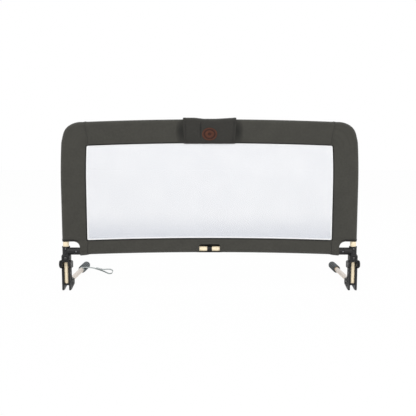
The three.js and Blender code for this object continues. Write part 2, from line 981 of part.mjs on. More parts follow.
function flap() {
  const outerStart = tentAngle(flapOuter, flapOuterHalf, topBandReach);
  const innerStart = tentAngle(flapInner, flapInnerHalf, topBandReach);
  const backOuter = tentHalfAt(flapOuter, flapOuterHalf, topBandReach, flapBackReach);
  const backInner = tentHalfAt(flapInner, flapInnerHalf, topBandReach, flapBackReach);
  const outline = [
    ...pairs([[-flapInnerHalf, -topBandReach], [-flapOuterHalf, -topBandReach]]),
    ...arcPoints(flapOuter, 180 - outerStart, outerStart, sleeveSteps),
    ...pairs([[backOuter, -flapBackReach], [backInner, -flapBackReach]]),
    ...arcPoints(flapInner, innerStart, 180 - innerStart, sleeveSteps),
  ];
  const placed = outline.map((point) => new THREE.Vector2(point.x, point.y + topRailAt(0)));
  return sidewaysPrism(placed, -flapHalfWidth, flapHalfWidth);
}

// Oval leather patch on the flap's front
function leatherPatch() {
  const outline = circlePoints(1, 2 * tubeSides).map((point) => (
    new THREE.Vector2(point.x * patchHalfWidth, point.y * patchHalfHeight)
  ));
  const patch = facingPrism(outline, -patchThickness - seatGap, -seatGap);
  const upper = tentHalfAt(flapOuter, flapOuterHalf, topBandReach, 0);
  patch.rotateX(Math.atan2(upper - flapOuterHalf, topBandReach));
  const depth = tentHalfAt(flapOuter, flapOuterHalf, topBandReach, patchDrop);
  patch.translate(0, -depth, topRailAt(0) - patchDrop);
  return patch;
}

// Colours and finishes
function finish(colour, roughness, metalness) {
  return new THREE.MeshStandardMaterial({ color: colour, roughness, metalness });
}

const group = new THREE.Group();
group.name = 'folding_bed_guard_rail';

function addPiece(name, geometry, material) {
  const mesh = new THREE.Mesh(geometry, material);
  mesh.name = name;
  group.add(mesh);
}

function addPair(name, make, look) {
  const left = make();
  addPiece(`${name}_left`, left, finish(...look));
  addPiece(`${name}_right`, mirrored(left), finish(...look));
}

const creamEnamel = ['#e4ddcb', 0.42, 0.2];
const blackPlastic = ['#2a2a2b', 0.5, 0];
const plainSteel = ['#a8a8a6', 0.35, 1];
const greyFabric = ['#4b4a46', 0.9, 0];
const whiteMesh = ['#f0f1f5', 0.85, 0];
const greyFoam = ['#4a4a4b', 0.95, 0];
const paleWebbing = ['#a9b3a6', 0.9, 0];
const brownLeather = ['#573933', 0.6, 0];

addPair('side_tube', frameTube, creamEnamel);
addPair('lower_rail_tube', railTube, creamEnamel);
addPiece('top_rail_connector', connector(
  frameTubeRadius,
  frameTubeRadius,
  topCollarHalfWidth - seatGap,
  topRailAt(connectorReach),
), finish(...blackPlastic));
addPiece('lower_rail_connector', connector(
  railTubeRadius,
  lowerCollarRadius,
  lowerCollarHalfWidth,
  lowerRailAt(0),
), finish(...blackPlastic));
addPair('corner_block', cornerBlock, blackPlastic);
addPair('collar_screw', () => screw(...collarScrew), plainSteel);
addPair('branch_screw', () => screw(...branchScrew), plainSteel);
addPair('release_button', releaseButton, blackPlastic);
addPair('button_spring', buttonSpring, plainSteel);
addPair('bracket', bracket, blackPlastic);
addPair('hinge_pin_inner', () => hingePin(lugInner + pinBlindEnd + seatGap, earOuter), plainSteel);
addPair('hinge_pin_outer', () => hingePin(-earOuter, -lugInner - pinBlindEnd - seatGap), plainSteel);
addPair('upright_rivet', () => rivet(0, rivetHeight), plainSteel);
addPair('arm_rivet', () => rivet(armRivetAt, armAxisAt(armRivetAt)), plainSteel);
addPair('upright_tube', uprightTube, creamEnamel);
addPair('upright_tube_cap', uprightCap, creamEnamel);
addPair('arm_tube', armTube, creamEnamel);
addPair('arm_grip', armGrip, greyFoam);
addPair('arm_end_plug', armEndPlug, blackPlastic);
addPiece('strap_band', strapBand(), finish(...paleWebbing));
addPiece('strap_tail', strapTail(), finish(...paleWebbing));
addPiece('cover_top_band', coverTopBand(), finish(...greyFabric));
addPiece('cover_bottom_band', coverBottomBand(), finish(...greyFabric));
addPair('cover_side_band', coverSideBand, greyFabric);
addPiece('window_edging', windowEdging(), finish(...whiteMesh));
addPiece('mesh_panel', meshPanel(), finish(...whiteMesh));
addPiece('rail_joint_flap', flap(), finish(...greyFabric));
addPiece('leather_patch', leatherPatch(), finish(...brownLeather));

// The origin moves to the floor under the middle of the whole rail's footprint
const footprint = new THREE.Box3().setFromObject(group);
group.position.y = -(footprint.min.y + footprint.max.y) / 2;

export default group;
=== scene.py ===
"""Folding bed guard rail for a child's bed: a fabric cover with a mesh window on a bent steel frame,
carried by two hinged brackets whose arms reach back under the mattress.

Sizes are in millimetres, measured from the floor under the guard's own plane, and each mesh is
written in metres in the frame's place. Negative y is the side away from the mattress."""

import math

import bmesh
import bpy
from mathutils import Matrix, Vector, noise


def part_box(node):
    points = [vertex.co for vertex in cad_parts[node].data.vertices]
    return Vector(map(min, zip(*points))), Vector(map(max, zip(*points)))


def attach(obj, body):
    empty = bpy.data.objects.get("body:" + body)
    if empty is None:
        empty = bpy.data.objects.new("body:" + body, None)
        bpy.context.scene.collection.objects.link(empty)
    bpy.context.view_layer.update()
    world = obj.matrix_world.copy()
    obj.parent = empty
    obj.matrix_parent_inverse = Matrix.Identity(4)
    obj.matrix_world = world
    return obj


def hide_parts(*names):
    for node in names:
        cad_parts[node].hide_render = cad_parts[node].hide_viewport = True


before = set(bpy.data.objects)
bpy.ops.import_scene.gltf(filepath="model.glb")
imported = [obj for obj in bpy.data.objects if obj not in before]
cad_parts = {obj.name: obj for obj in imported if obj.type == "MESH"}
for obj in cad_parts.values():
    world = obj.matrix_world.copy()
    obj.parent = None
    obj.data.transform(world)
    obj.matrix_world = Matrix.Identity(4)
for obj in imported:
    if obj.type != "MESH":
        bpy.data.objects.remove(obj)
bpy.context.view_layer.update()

MM = 0.001
guard_plane = sum(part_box("mesh_panel"), Vector()).y / 2

# White studio
# A seamless white sweep with soft lamps, as a catalogue picture has. The camera stands in front
# of the middle of the guard, a little above it, and looks slightly down.
camera_height = 630
camera_distance = 2468
camera_side = -6.4
camera_pitch = math.radians(6.72)
camera_lens = 53.04
camera_sensor = 36
paper_white = "#ffffff"
paper_reach = 9000
paper_drop = 0.2
paper_glow = 0.97
# Each lamp's place, its width and its power in watts
lamp_plan = {
    "key_lamp": ((-900, -2300, 2600), 2200, 37),
    "fill_lamp": ((1500, -2200, 1300), 2000, 15),
    "back_lamp": ((300, 2200, 2300), 2200, 19),
}
lamp_target = Vector((0, 0, 380))
room_light = 0.71


def linear(colour):
    """The linear colour of an sRGB hex value, with full alpha."""
    parts = [int(colour[i : i + 2], 16) / 255 for i in (1, 3, 5)]
    made = [p / 12.92 if p <= 0.04045 else ((p + 0.055) / 1.055) ** 2.4 for p in parts]
    return (*made, 1)


def node(tree, kind, inputs=(), **settings):
    """Adds a node with its settings, and sets its inputs or links them to the sockets given."""
    made = tree.nodes.new(kind)
    for name, value in settings.items():
        setattr(made, name, value)
    for name, value in dict(inputs).items():
        if isinstance(value, bpy.types.NodeSocket):
            tree.links.new(value, made.inputs[name])
        else:
            made.inputs[name].default_value = value
    return made


def reckon(tree, operation, *values, **settings):
    """The result of one sum on values or sockets."""
    return node(tree, "ShaderNodeMath", dict(enumerate(values)), operation=operation, **settings).outputs[0]


# The taut cover draws the frame in by a few millimetres just below its top corners: nothing at the
# start height, most at the full height and nothing again at the end height
corner_draw = 7.5
draw_start = 430
draw_full = 618
draw_end = 672
draw_half = 498


def in_metres(point):
    """A point in metres in the frame, from millimetres off the guard's plane. It is drawn in on the
    way, by more the nearer it lies to the side tubes."""
    rise = max(0, min(1, (point[2] - draw_start) / (draw_full - draw_start)))
    fall = max(0, min(1, (point[2] - draw_full) / (draw_end - draw_full)))
    pull = corner_draw * rise * rise * (1 - fall * fall * (3 - 2 * fall)) / draw_half
    x = point[0] - max(-draw_half, min(draw_half, point[0])) * pull
    return Vector((x * MM, guard_plane + point[1] * MM, point[2] * MM))


scene = bpy.context.scene
scene.view_settings.view_transform = "Standard"

camera = bpy.data.objects.new("camera", bpy.data.cameras.new("camera"))
camera.data.lens = camera_lens
camera.data.sensor_width = camera_sensor
camera.location = in_metres((camera_side, -camera_distance, camera_height))
camera.rotation_euler = (math.pi / 2 - camera_pitch, 0, 0)
scene.collection.objects.link(camera)
scene.camera = camera

for lamp_name, (spot, size, power) in lamp_plan.items():
    lamp = bpy.data.objects.new(lamp_name, bpy.data.lights.new(lamp_name, "AREA"))
    lamp.data.size = size * MM
    lamp.data.energy = power
    lamp.location = in_metres(spot)
    lamp.rotation_euler = (lamp_target - Vector(spot)).to_track_quat("-Z", "Y").to_euler()
    scene.collection.objects.link(lamp)


def seen_directly(tree):
    """One where the eye, a reflection or a clear surface looks at the backdrop, and zero for light."""
    rays = node(tree, "ShaderNodeLightPath").outputs
    seen = reckon(tree, "MAXIMUM", rays["Is Camera Ray"], rays["Is Glossy Ray"])
    return reckon(tree, "MAXIMUM", seen, rays["Is Transmission Ray"])


world = bpy.data.worlds.new("white_room")
scene.world = world
world.use_nodes = True
tree = world.node_tree
tree.nodes.clear()
room = node(tree, "ShaderNodeBackground", {"Color": linear(paper_white), "Strength": room_light})
wall = node(tree, "ShaderNodeBackground", {"Color": linear(paper_white), "Strength": 1})
both = node(
    tree,
    "ShaderNodeMixShader",
    {0: seen_directly(tree), 1: room.outputs[0], 2: wall.outputs[0]},
)
node(tree, "ShaderNodeOutputWorld", {"Surface": both.outputs[0]})

# The paper is matt, and glows only towards the eye, so that it is white and keeps the shadow
paper = bpy.data.materials.new("matt_white_paper")
paper.use_nodes = True
tree = paper.node_tree
tree.nodes.clear()
matt = node(tree, "ShaderNodeBsdfDiffuse", {"Color": linear("#f2f2f2")})
glow = node(tree, "ShaderNodeEmission", {"Color": linear(paper_white), "Strength": 1})
share = reckon(tree, "MULTIPLY", seen_directly(tree), paper_glow)
lifted = node(tree, "ShaderNodeMixShader", {0: share, 1: matt.outputs[0], 2: glow.outputs[0]})
node(tree, "ShaderNodeOutputMaterial", {"Surface": lifted.outputs[0]})

floor_mesh = bpy.data.meshes.new("paper_floor")
floor_corners = [
    in_metres((x * paper_reach, y * paper_reach, -paper_drop))
    for x, y in ((-1, -1), (1, -1), (1, 1), (-1, 1))
]
floor_mesh.from_pydata(floor_corners, [], [(0, 1, 2, 3)])
floor_mesh.materials.append(paper)
paper_floor = bpy.data.objects.new("paper_floor", floor_mesh)
scene.collection.objects.link(paper_floor)

# Strap tail
# Pale polyester webbing 15 mm wide, sewn round the left arm and folded back on itself as a pull
# loop. It falls from the top of the arm to the floor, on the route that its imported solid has.
leg_x = 586
arm_tube_radius = 10
webbing_width = 15
webbing_thickness = 1.5
strap_start = Vector((-leg_x + arm_tube_radius + 10, 293.2, 0))
strap_steps = 8
# How far each point lies ahead of the start, and its height
strap_route = [
    (0, 30.4), (10, 30.3), (20, 29.6), (30, 28.1), (40, 25.9), (50, 23.1), (60, 20), (70, 16.4),
    (80, 12.3), (90, 7.6), (98, 3.8), (106, 1.5), (114, 2.1), (120.4, 6), (122.8, 11.8),
    (119.6, 17.4), (112, 20.8), (103, 21.6), (94, 21.2), (87, 20.6), (80, 20.6), (74, 21),
    (68, 21.6), (62, 22.9), (56, 24.4), (51, 26), (47, 28),
]
strap_tip = math.radians(6)
strap_tip_points = 40
strap_sway = 0.8
strap_ahead = Vector((1, 0, 0))
strap_across = Vector((0, 1, 0))


def smooth_route(points, steps):
    """Points along a smooth curve through the given ones, a few to each stretch."""
    ends = [points[0] * 2 - points[1], *points, points[-1] * 2 - points[-2]]
    route = []
    for before, start, end, after in zip(ends, ends[1:], ends[2:], ends[3:]):
        for step in range(steps):
            t = step / steps
            route.append(
                0.5 * (
                    2 * start
                    + (end - before) * t
                    + (2 * before - 5 * start + 4 * end - after) * t * t
                    + (3 * start - before - 3 * end + after) * t * t * t
                )
            )
    return [*route, points[-1]]


def skin(name, rows, ring=False, caps=False):
    """A mesh over rows of points in millimetres, with a UV map in millimetres along and across."""
    count = len(rows[0])
    spans = count if ring else count - 1
    along = [0]
    for row, following in zip(rows, rows[1:]):
        along.append(along[-1] + (following[0] - row[0]).length)
    across = []
    for row in rows:
        reach = [0]
        for j in range(spans):
            reach.append(reach[-1] + (row[(j + 1) % count] - row[j]).length)
        across.append(reach)
    faces = []
    spots = []
    for i in range(len(rows) - 1):
        for j in range(spans):
            after = (j + 1) % count
            faces.append((i * count + j, i * count + after, (i + 1) * count + after, (i + 1) * count + j))
            spots += [
                (along[i], across[i][j]),
                (along[i], across[i][j + 1]),
                (along[i + 1], across[i + 1][j + 1]),
                (along[i + 1], across[i + 1][j]),
            ]
    if caps:
        for i in (0, len(rows) - 1):
            faces.append(tuple(i * count + j for j in range(count)))
            spots += [(along[i], across[i][j]) for j in range(count)]
    mesh = bpy.data.meshes.new(name)
    mesh.from_pydata([in_metres(point) for row in rows for point in row], [], faces)
    uv_map = mesh.uv_layers.new(name="millimetres")
    uv_map.data.foreach_set("uv", [value for spot in spots for value in spot])
    made = bpy.data.objects.new(name, mesh)
    scene.collection.objects.link(made)
    if ring:
        faced = bmesh.new()
        faced.from_mesh(mesh)
        bmesh.ops.recalc_face_normals(faced, faces=faced.faces)
        faced.to_mesh(mesh)
        faced.free()
    return made


def plain(piece):
    """Makes a piece's mesh what its modifiers give, and drops them."""
    graph = bpy.context.evaluated_depsgraph_get()
    made = bpy.data.meshes.new_from_object(piece.evaluated_get(graph), depsgraph=graph)
    piece.modifiers.clear()
    piece.data = made
    made.name = piece.name
    return piece


def finished(piece, material, slot_name, body, *nodes, crease=40):
    """Makes a piece plain and smooth with creased edges, hangs it on its body and hides the imported parts
    it takes the place of.
    """
    mesh = plain(piece).data
    mesh.materials.clear()
    mesh.materials.append(material)
    edged = bmesh.new()
    edged.from_mesh(mesh)
    for face in edged.faces:
        face.smooth = True
    for edge in edged.edges:
        edge.smooth = len(edge.link_faces) == 2 and edge.calc_face_angle() < math.radians(crease)
    edged.to_mesh(mesh)
    edged.free()
    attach(piece, body)
    if nodes:
        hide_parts(*nodes)
    return piece


def surface(name, colour, roughness, **sockets):
    """A new material of one shader, with its node tree and the shader."""
    made = bpy.data.materials.new(name)
    made.use_nodes = True
    shader = made.node_tree.nodes["Principled BSDF"]
    shader.inputs["Base Color"].default_value = linear(colour)
    shader.inputs["Roughness"].default_value = roughness
    for socket, value in sockets.items():
        shader.inputs[socket.replace("_", " ").title()].default_value = value
    return made, made.node_tree, shader


def on_cloth(tree):
    """The place on the piece from its UV map, which is in millimetres."""
    return node(tree, "ShaderNodeUVMap", uv_map="millimetres").outputs["UV"]


def on_piece(tree):
    """The place on the piece in millimetres, from its own coordinates."""
    spot = node(tree, "ShaderNodeTexCoord").outputs["Object"]
    return node(tree, "ShaderNodeVectorMath", {0: spot, "Scale": 1 / MM}, operation="SCALE").outputs[0]


def speckle(tree, spot, size, detail=2):
    """Noise from 0 to 1 with marks of a size in millimetres."""
    inputs = {"Vector": spot, "Scale": 1 / size, "Detail": detail}
    return node(tree, "ShaderNodeTexNoise", inputs).outputs[0]


def wave(tree, spot, pitch, direction):
    """Even ridges from 0 to 1 across a direction, with a pitch in millimetres."""
    inputs = {"Vector": spot, "Scale": math.pi / (10 * pitch)}
    return node(tree, "ShaderNodeTexWave", inputs, bands_direction=direction).outputs["Fac"]


def shade(tree, share, low, high):
    """A colour between two sRGB hex values."""
    inputs = {0: share, 6: linear(low), 7: linear(high)}
    return node(tree, "ShaderNodeMix", inputs, data_type="RGBA").outputs[2]


def raised(tree, shader, height, depth):
    """Raises the surface by a pattern, to a depth in millimetres."""
    bump = node(tree, "ShaderNodeBump", {"Height": height, "Distance": depth * MM, "Strength": 1})
    tree.links.new(bump.outputs[0], shader.inputs["Normal"])


# Polyester webbing: warp ribs 1.5 mm wide with a fine weft across them
webbing, tree, shader = surface("polyester_webbing", "#c3c9c8", 0.8)
spot = on_cloth(tree)
ribs = wave(tree, spot, 1.5, "Y")
weft = wave(tree, spot, 0.7, "X")
height = reckon(tree, "ADD", ribs, reckon(tree, "MULTIPLY", weft, 0.6))
tone = shade(tree, reckon(tree, "MULTIPLY", height, 0.6), "#aab1b0", "#ced4d3")
tree.links.new(tone, shader.inputs["Base Color"])
raised(tree, shader, height, 0.25)

strap_points = smooth_route(
    [strap_start + strap_ahead * ahead + Vector((0, 0, rise)) for ahead, rise in strap_route],
    strap_steps,
)
# Half the webbing's section in halves of its width and thickness, then the half turned over
strap_section = [(-1, 0), (-0.96, 0.8), (-0.5, 1), (0.5, 1), (0.96, 0.8)]
strap_section += [(-a, -b) for a, b in strap_section]
# The tail leaves the arm level and is tipped a little to one side on its way down
strap_rows = []
for i, point in enumerate(strap_points):
    tangent = strap_points[min(i + 1, len(strap_points) - 1)] - strap_points[max(i - 1, 0)]
    tipped = strap_tip * min(1, i / strap_tip_points)
    across = Vector((0, math.cos(tipped), math.sin(tipped)))
    rise = tangent.normalized().cross(across)
    sway = strap_sway * noise.noise(point * 0.03)
    strap_rows.append([
        point
        + across * (a * webbing_width / 2 + sway)
        + rise * (b * webbing_thickness / 2)
        for a, b in strap_section
    ])
strap = skin("pull_strap", strap_rows, ring=True, caps=True)
finished(strap, webbing, "pale_webbing", "leg_left", "strap_tail")

# Side tubes
# Round steel tube 24 mm across with a 1.2 mm wall, cold bent through the top corner and into half of
# the arched top rail, and powder coated cream. Each half plugs onto a connector at the middle.
frame_tube_radius = 12
tube_wall = 1.2
corner_bend = 73
corner_height = 671
top_rise = 10.5
arch_start = leg_x - corner_bend - 8
top_tube_end = 6
side_tube_foot = 150.4
round_sides = 48

# Cream powder coat: a faint orange peel of 1 to 2 mm in a satin film
powder_coat, tree, shader = surface("powder_coated_steel", "#f8e7c6", 0.34, coat_weight=0.25)
spot = on_piece(tree)
peel = speckle(tree, spot, 1.6)
raised(tree, shader, peel, 0.05)
handled = reckon(tree, "MULTIPLY_ADD", speckle(tree, spot, 45, 4), 0.16, 0.27)
tree.links.new(handled, shader.inputs["Roughness"])


def node_group(name, sockets):
    """A new Geometry Nodes group with its input and output nodes and named inputs."""
    group = bpy.data.node_groups.new(name, "GeometryNodeTree")
    group.interface.new_socket("Geometry", in_out="INPUT", socket_type="NodeSocketGeometry")
    for label, kind, value in sockets:
        made = group.interface.new_socket(label, in_out="INPUT", socket_type=kind)
        if value is not None:
            made.default_value = value
    group.interface.new_socket("Geometry", in_out="OUTPUT", socket_type="NodeSocketGeometry")
    return group, node(group, "NodeGroupInput").outputs


def close_group(group, shape, material):
    """Makes a node group's shape real, gives it its material and puts it out."""
    real = node(group, "GeometryNodeRealizeInstances", {"Geometry": shape})
    dressed = node(group, "GeometryNodeSetMaterial", {"Geometry": real.outputs[0], "Material": material})
    node(group, "NodeGroupOutput", {"Geometry": dressed.outputs[0]})


def run_group(piece, group, values):
    """Puts a node group on a piece with values for its named inputs."""
    step = piece.modifiers.new(group.name, "NODES")
    step.node_group = group
    for item in group.interface.items_tree:
        if item.in_out == "INPUT" and item.name in values:
            step[item.identifier] = values[item.name]


# Round tube or wire along the edges of a mesh line
tube_group, given = node_group("tube_on_route", [
    ("Radius", "NodeSocketFloat", 0.01),
    ("Sides", "NodeSocketInt", round_sides),
    ("Material", "NodeSocketMaterial", None),
])
line = node(tube_group, "GeometryNodeMeshToCurve", {"Mesh": given["Geometry"]})
ring = node(
    tube_group,
    "GeometryNodeCurvePrimitiveCircle",
    {"Resolution": given["Sides"], "Radius": given["Radius"]},
)
swept = node(
    tube_group,
    "GeometryNodeCurveToMesh",
    {"Curve": line.outputs[0], "Profile Curve": ring.outputs[0]},
)
close_group(tube_group, swept.outputs[0], given["Material"])


def tube(name, route, radius, material):
    """An open round tube along a route, in millimetres, with the common wall."""
    mesh = bpy.data.meshes.new(name)
    mesh.from_pydata([in_metres(point) for point in route], [(i, i + 1) for i in range(len(route) - 1)], [])
    made = bpy.data.objects.new(name, mesh)
    scene.collection.objects.link(made)
    run_group(made, tube_group, {"Radius": radius * MM, "Sides": round_sides, "Material": material})
    wall = made.modifiers.new("wall", "SOLIDIFY")
    wall.thickness = tube_wall * MM
    wall.offset = -1
    return made


def mirror(point):
    """The same point on the right-hand side."""
    return Vector((-point[0], point[1], point[2]))


def arc(radius, start, end, steps, centre):
    """Points along an arc in two dimensions, with angles in degrees."""
    angles = [math.radians(start + (end - start) * i / steps) for i in range(steps + 1)]
    return [(centre[0] + radius * math.cos(a), centre[1] + radius * math.sin(a)) for a in angles]


sides = (("left", Vector), ("right", mirror))


def frame_tubes(name, route, radius, node_name):
    """The same coated tube in both halves of the guard's frame."""
    for side, turned in sides:
        piece = tube(f"{name}_{side}", [turned(point) for point in route], radius, powder_coat)
        finished(piece, powder_coat, "cream_enamel", "guard", f"{node_name}_{side}")


def top_rail(x):
    """The height of the top rail's axis, which is arched between its bends."""
    return corner_height + top_rise * max(0, 1 - (x / arch_start) ** 2)


side_route = [(-leg_x, side_tube_foot), (-leg_x, 300), (-leg_x, 450)]
side_route += arc(corner_bend, 180, 90, 24, (-leg_x + corner_bend, corner_height - corner_bend))
side_route += [
    (x, top_rail(x))
    for x in (-arch_start + (arch_start - top_tube_end) * i / 30 for i in range(31))
]
side_route = [Vector((x, 0, z)) for x, z in side_route]
frame_tubes("steel_side_tube", side_route, frame_tube_radius, "side_tube")

# Lower rail
# Round steel tube 20 mm across in two halves, powder coated cream, pushed at one end into the corner
# block's branch and at the other onto the middle connector.
rail_tube_radius = 10
lower_height = 162
lower_rise = 10
cut_out_x = 526
lower_tube_start = 30.4
lower_tube_end = 9.6


def lower_rail(x):
    """The height of the lower rail's axis, which is arched between the cover's cut-outs."""
    return lower_height + lower_rise * max(0, 1 - (x / cut_out_x) ** 2)


rail_route = [Vector((-leg_x + lower_tube_start, 0, lower_height))]
for i in range(25):
    x = -cut_out_x + (cut_out_x - lower_tube_end) * i / 24
    rail_route.append(Vector((x, 0, lower_rail(x))))
frame_tubes("steel_lower_rail", rail_route, rail_tube_radius, "lower_rail_tube")

# Rail connectors
# Glass-filled nylon plugs, each with a collar that the tube ends stop against. The lower one shows
# in the cover's opening and has a moulded rib round its collar.
connector_reach = 45
plug_gap = 0.35
collar_rib = [(-3.2, 12.5), (-2.6, 11.7), (-1.9, 11.7), (-1.3, 12.9)]
# Each one's tube, its collar's half length and radius, its moulded rib and the height of its axis
connector_plan = {
    "lower": (rail_tube_radius, 9.3, 12.5, collar_rib, lower_rail(0)),
    "top": (frame_tube_radius, 5.8, 12, [], top_rail(connector_reach)),
}

# Glass-filled nylon: moulded black, with a fine even grain of 0.4 mm and faint flow marks
nylon, tree, shader = surface("glass_filled_nylon", "#121213", 0.46)
shader.inputs["Specular IOR Level"].default_value = 0.4
spot = on_piece(tree)
grain = speckle(tree, spot, 0.4)
flow = speckle(tree, spot, 14, 3)
raised(tree, shader, reckon(tree, "ADD", grain, reckon(tree, "MULTIPLY", flow, 0.4)), 0.05)
tree.links.new(shade(tree, flow, "#0c0c0d", "#18181a"), shader.inputs["Base Color"])
tree.links.new(reckon(tree, "MULTIPLY_ADD", flow, 0.2, 0.36), shader.inputs["Roughness"])


def circle_of(radius, count=round_sides):
    """The points of a circle in two dimensions."""
    return [
        (radius * math.cos(2 * math.pi * i / count), radius * math.sin(2 * math.pi * i / count))
        for i in range(count)
    ]


def turned_along(name, start, direction, profile, count=round_sides):
    """A turned piece from a profile of distances along its axis and radii."""
    direction = Vector(direction).normalized()
    first = direction.orthogonal().normalized()
    second = direction.cross(first)
    rows = [
        [Vector(start) + direction * along + first * a + second * b for a, b in circle_of(radius, count)]
        for along, radius in profile
    ]
    return skin(name, rows, ring=True, caps=True)


def chamfered(half, radius, edge=0.8):
    """Half a collar's profile with rounded edges, from its end to its middle."""
    return [(-half, radius - edge), (-half + 0.25 * edge, radius - 0.3 * edge), (-half + edge, radius)]


for place, (tube_radius, stop_half, stop_radius, rib, axis_height) in connector_plan.items():
    plug_radius = tube_radius - tube_wall - plug_gap
    profile = [(-connector_reach, plug_radius - 1), (-connector_reach + 1, plug_radius)]
    profile += [(-stop_half, plug_radius), *chamfered(stop_half, stop_radius), *rib]
    profile += [(-along, radius) for along, radius in reversed(profile)]
    piece = turned_along(f"nylon_{place}_connector", (0, 0, axis_height), (1, 0, 0), profile)
    finished(piece, nylon, "black_moulding", "guard", f"{place}_rail_connector", crease=30)

# Corner blocks
# One glass-filled nylon moulding a side: a base that stands on the bracket, a collar round the side
# tube, a branch round the lower rail, a window for the release button and two lugs for the hinge.
block_bottom = 120
block_top = 146
block_half_width = 17
block_half_depth = 18
collar_radius = 15.2
collar_top = 182
branch_radius = 15
branch_reach = 59.7
pivot_height = 112
pivot_forward = 18
lug_radius = 12
lug_inner = 11
lug_outer = 16.8
button_half = 6.5
button_height = 134
button_gap = 0.5
collar_screw_height = 173
branch_screw_x = -leg_x + 43
screw_boss_radius = 5.8
screw_recess_radius = 4.4
tube_gap = 0.4
collar_bead = 0.9
foot_bead = 1.4
bore_bottom = 150.2
spring_bore_radius = 5.2
pin_bore_radius = 4.2
grip_hollow = 0.9
fine_sides = 64
back_rib_half = 3
back_rib_outline = [(-17.2, 153), (-13, 171), (13, 171), (16, 153), (16, 146), (-17.2, 146)]
uv_shift = Vector((731, 377))


def block(*spans):
    """A closed box over three spans in millimetres."""
    (x0, x1), (y0, y1), (z0, z1) = spans
    rows = [[Vector((x, y, z)) for x, y in ((x0, y0), (x1, y0), (x1, y1), (x0, y1))] for z in (z0, z1)]
    return skin("block", rows, ring=True, caps=True)


def slab(outline, x0, x1):
    """A closed plate with an outline in y and z, between two places along x."""
    rows = [[Vector((x, y, z)) for y, z in outline] for x in (x0, x1)]
    return skin("slab", rows, ring=True, caps=True)


def upright(outline, z0, z1):
    """A closed prism with an outline in x and y, between two heights."""
    rows = [[Vector((x, y, z)) for x, y in outline] for z in (z0, z1)]
    return skin("upright", rows, ring=True, caps=True)


def rod(start, end, radius, count=round_sides):
    """A closed round rod between two points."""
    start = Vector(start)
    way = Vector(end) - start
    return turned_along("rod", start, way, [(0, radius), (way.length, radius)], count)


def rounded(half_width, half_depth, radius, centre, steps=6):
    """A rounded rectangle in two dimensions."""
    outline = []
    for turn, (a, b) in enumerate(((1, 1), (-1, 1), (-1, -1), (1, -1))):
        middle = (centre[0] + a * (half_width - radius), centre[1] + b * (half_depth - radius))
        outline += arc(radius, 90 * turn, 90 * turn + 90, steps, middle)
    return outline


def combine(piece, operation, tools):
    """Joins tools to a closed piece, or cuts them from it, once its modifiers are made real."""
    for tool in tools:
        step = piece.modifiers.new(operation.lower(), "BOOLEAN")
        step.operation = operation
        step.solver = "MANIFOLD"
        step.object = tool


def drop(pieces):
    """Removes pieces that were only tools."""
    for piece in pieces:
        bpy.data.objects.remove(piece)


def moulded(name, shapes, cuts, fine=0.7):
    """One moulding from solids joined and cut, with its edges softened as a mould leaves them."""
    body = shapes[0]
    body.name = name
    combine(body, "UNION", shapes[1:])
    combine(body, "DIFFERENCE", cuts)
    remesh = body.modifiers.new("even_skin", "REMESH")
    remesh.mode = "VOXEL"
    remesh.voxel_size = fine * MM
    soften = body.modifiers.new("soft_edges", "SMOOTH")
    soften.factor = 0.5
    soften.iterations = 4
    lighter = body.modifiers.new("lighter", "DECIMATE")
    lighter.ratio = 0.5
    plain(body)
    drop([*shapes[1:], *cuts])
    return body


def right_copy(piece, name):
    """The mirror image of a left-hand piece, with its cloth pattern taken from another stretch."""
    mesh = piece.data.copy()
    mesh.name = name
    flipped = bmesh.new()
    flipped.from_mesh(mesh)
    for vertex in flipped.verts:
        vertex.co.x *= -1
    bmesh.ops.reverse_faces(flipped, faces=flipped.faces)
    for layer in flipped.loops.layers.uv.values():
        for face in flipped.faces:
            for loop in face.loops:
                loop[layer].uv += uv_shift
    flipped.to_mesh(mesh)
    flipped.free()
    made = bpy.data.objects.new(name, mesh)
    scene.collection.objects.link(made)
    return made


def both_sides(piece, material, slot_name, body, *nodes, crease=40):
    """Finishes a left-hand piece and its mirror image; bodies and nodes are named without a side."""
    name = piece.name
    twin = right_copy(plain(piece), f"{name}_right")
    piece.name = f"{name}_left"
    made = []
    for side, half in (("left", piece), ("right", twin)):
        own = [f"{node_name}_{side}" for node_name in nodes]
        own_body = body if body == "guard" else f"{body}_{side}"
        made.append(finished(half, material, slot_name, own_body, *own, crease=crease))
    return made


lug = arc(lug_radius, 180, 360, 20, (-pivot_forward, pivot_height))
lug += [(lug_radius - pivot_forward, block_bottom + 3), (-block_half_depth, block_bottom + 3)]
shapes = [
    upright(rounded(block_half_width, block_half_depth, 4, (-leg_x, 0)), block_bottom, block_top),
    rod((-leg_x, 0, block_top - 2), (-leg_x, 0, collar_top), collar_radius, fine_sides),
    rod((-leg_x, 0, lower_height), (-leg_x + branch_reach, 0, lower_height), branch_radius, fine_sides),
    slab(lug, -leg_x + lug_inner, -leg_x + lug_outer),
    slab(lug, -leg_x - lug_outer, -leg_x - lug_inner),
    rod((-leg_x, 0, collar_top - 4), (-leg_x, 0, collar_top), collar_radius + collar_bead, fine_sides),
    rod((-leg_x, 0, 145.5), (-leg_x, 0, 149), collar_radius + foot_bead, fine_sides),
    rod(
        (-leg_x, -collar_radius + 1.5, collar_screw_height),
        (-leg_x, -collar_radius - 1, collar_screw_height),
        screw_boss_radius,
    ),
    rod(
        (branch_screw_x, -branch_radius + 2, lower_height),
        (branch_screw_x, -branch_radius - 1, lower_height),
        screw_boss_radius,
    ),
    slab(back_rib_outline, -leg_x - back_rib_half, -leg_x + back_rib_half),
]
window_half = button_half + button_gap
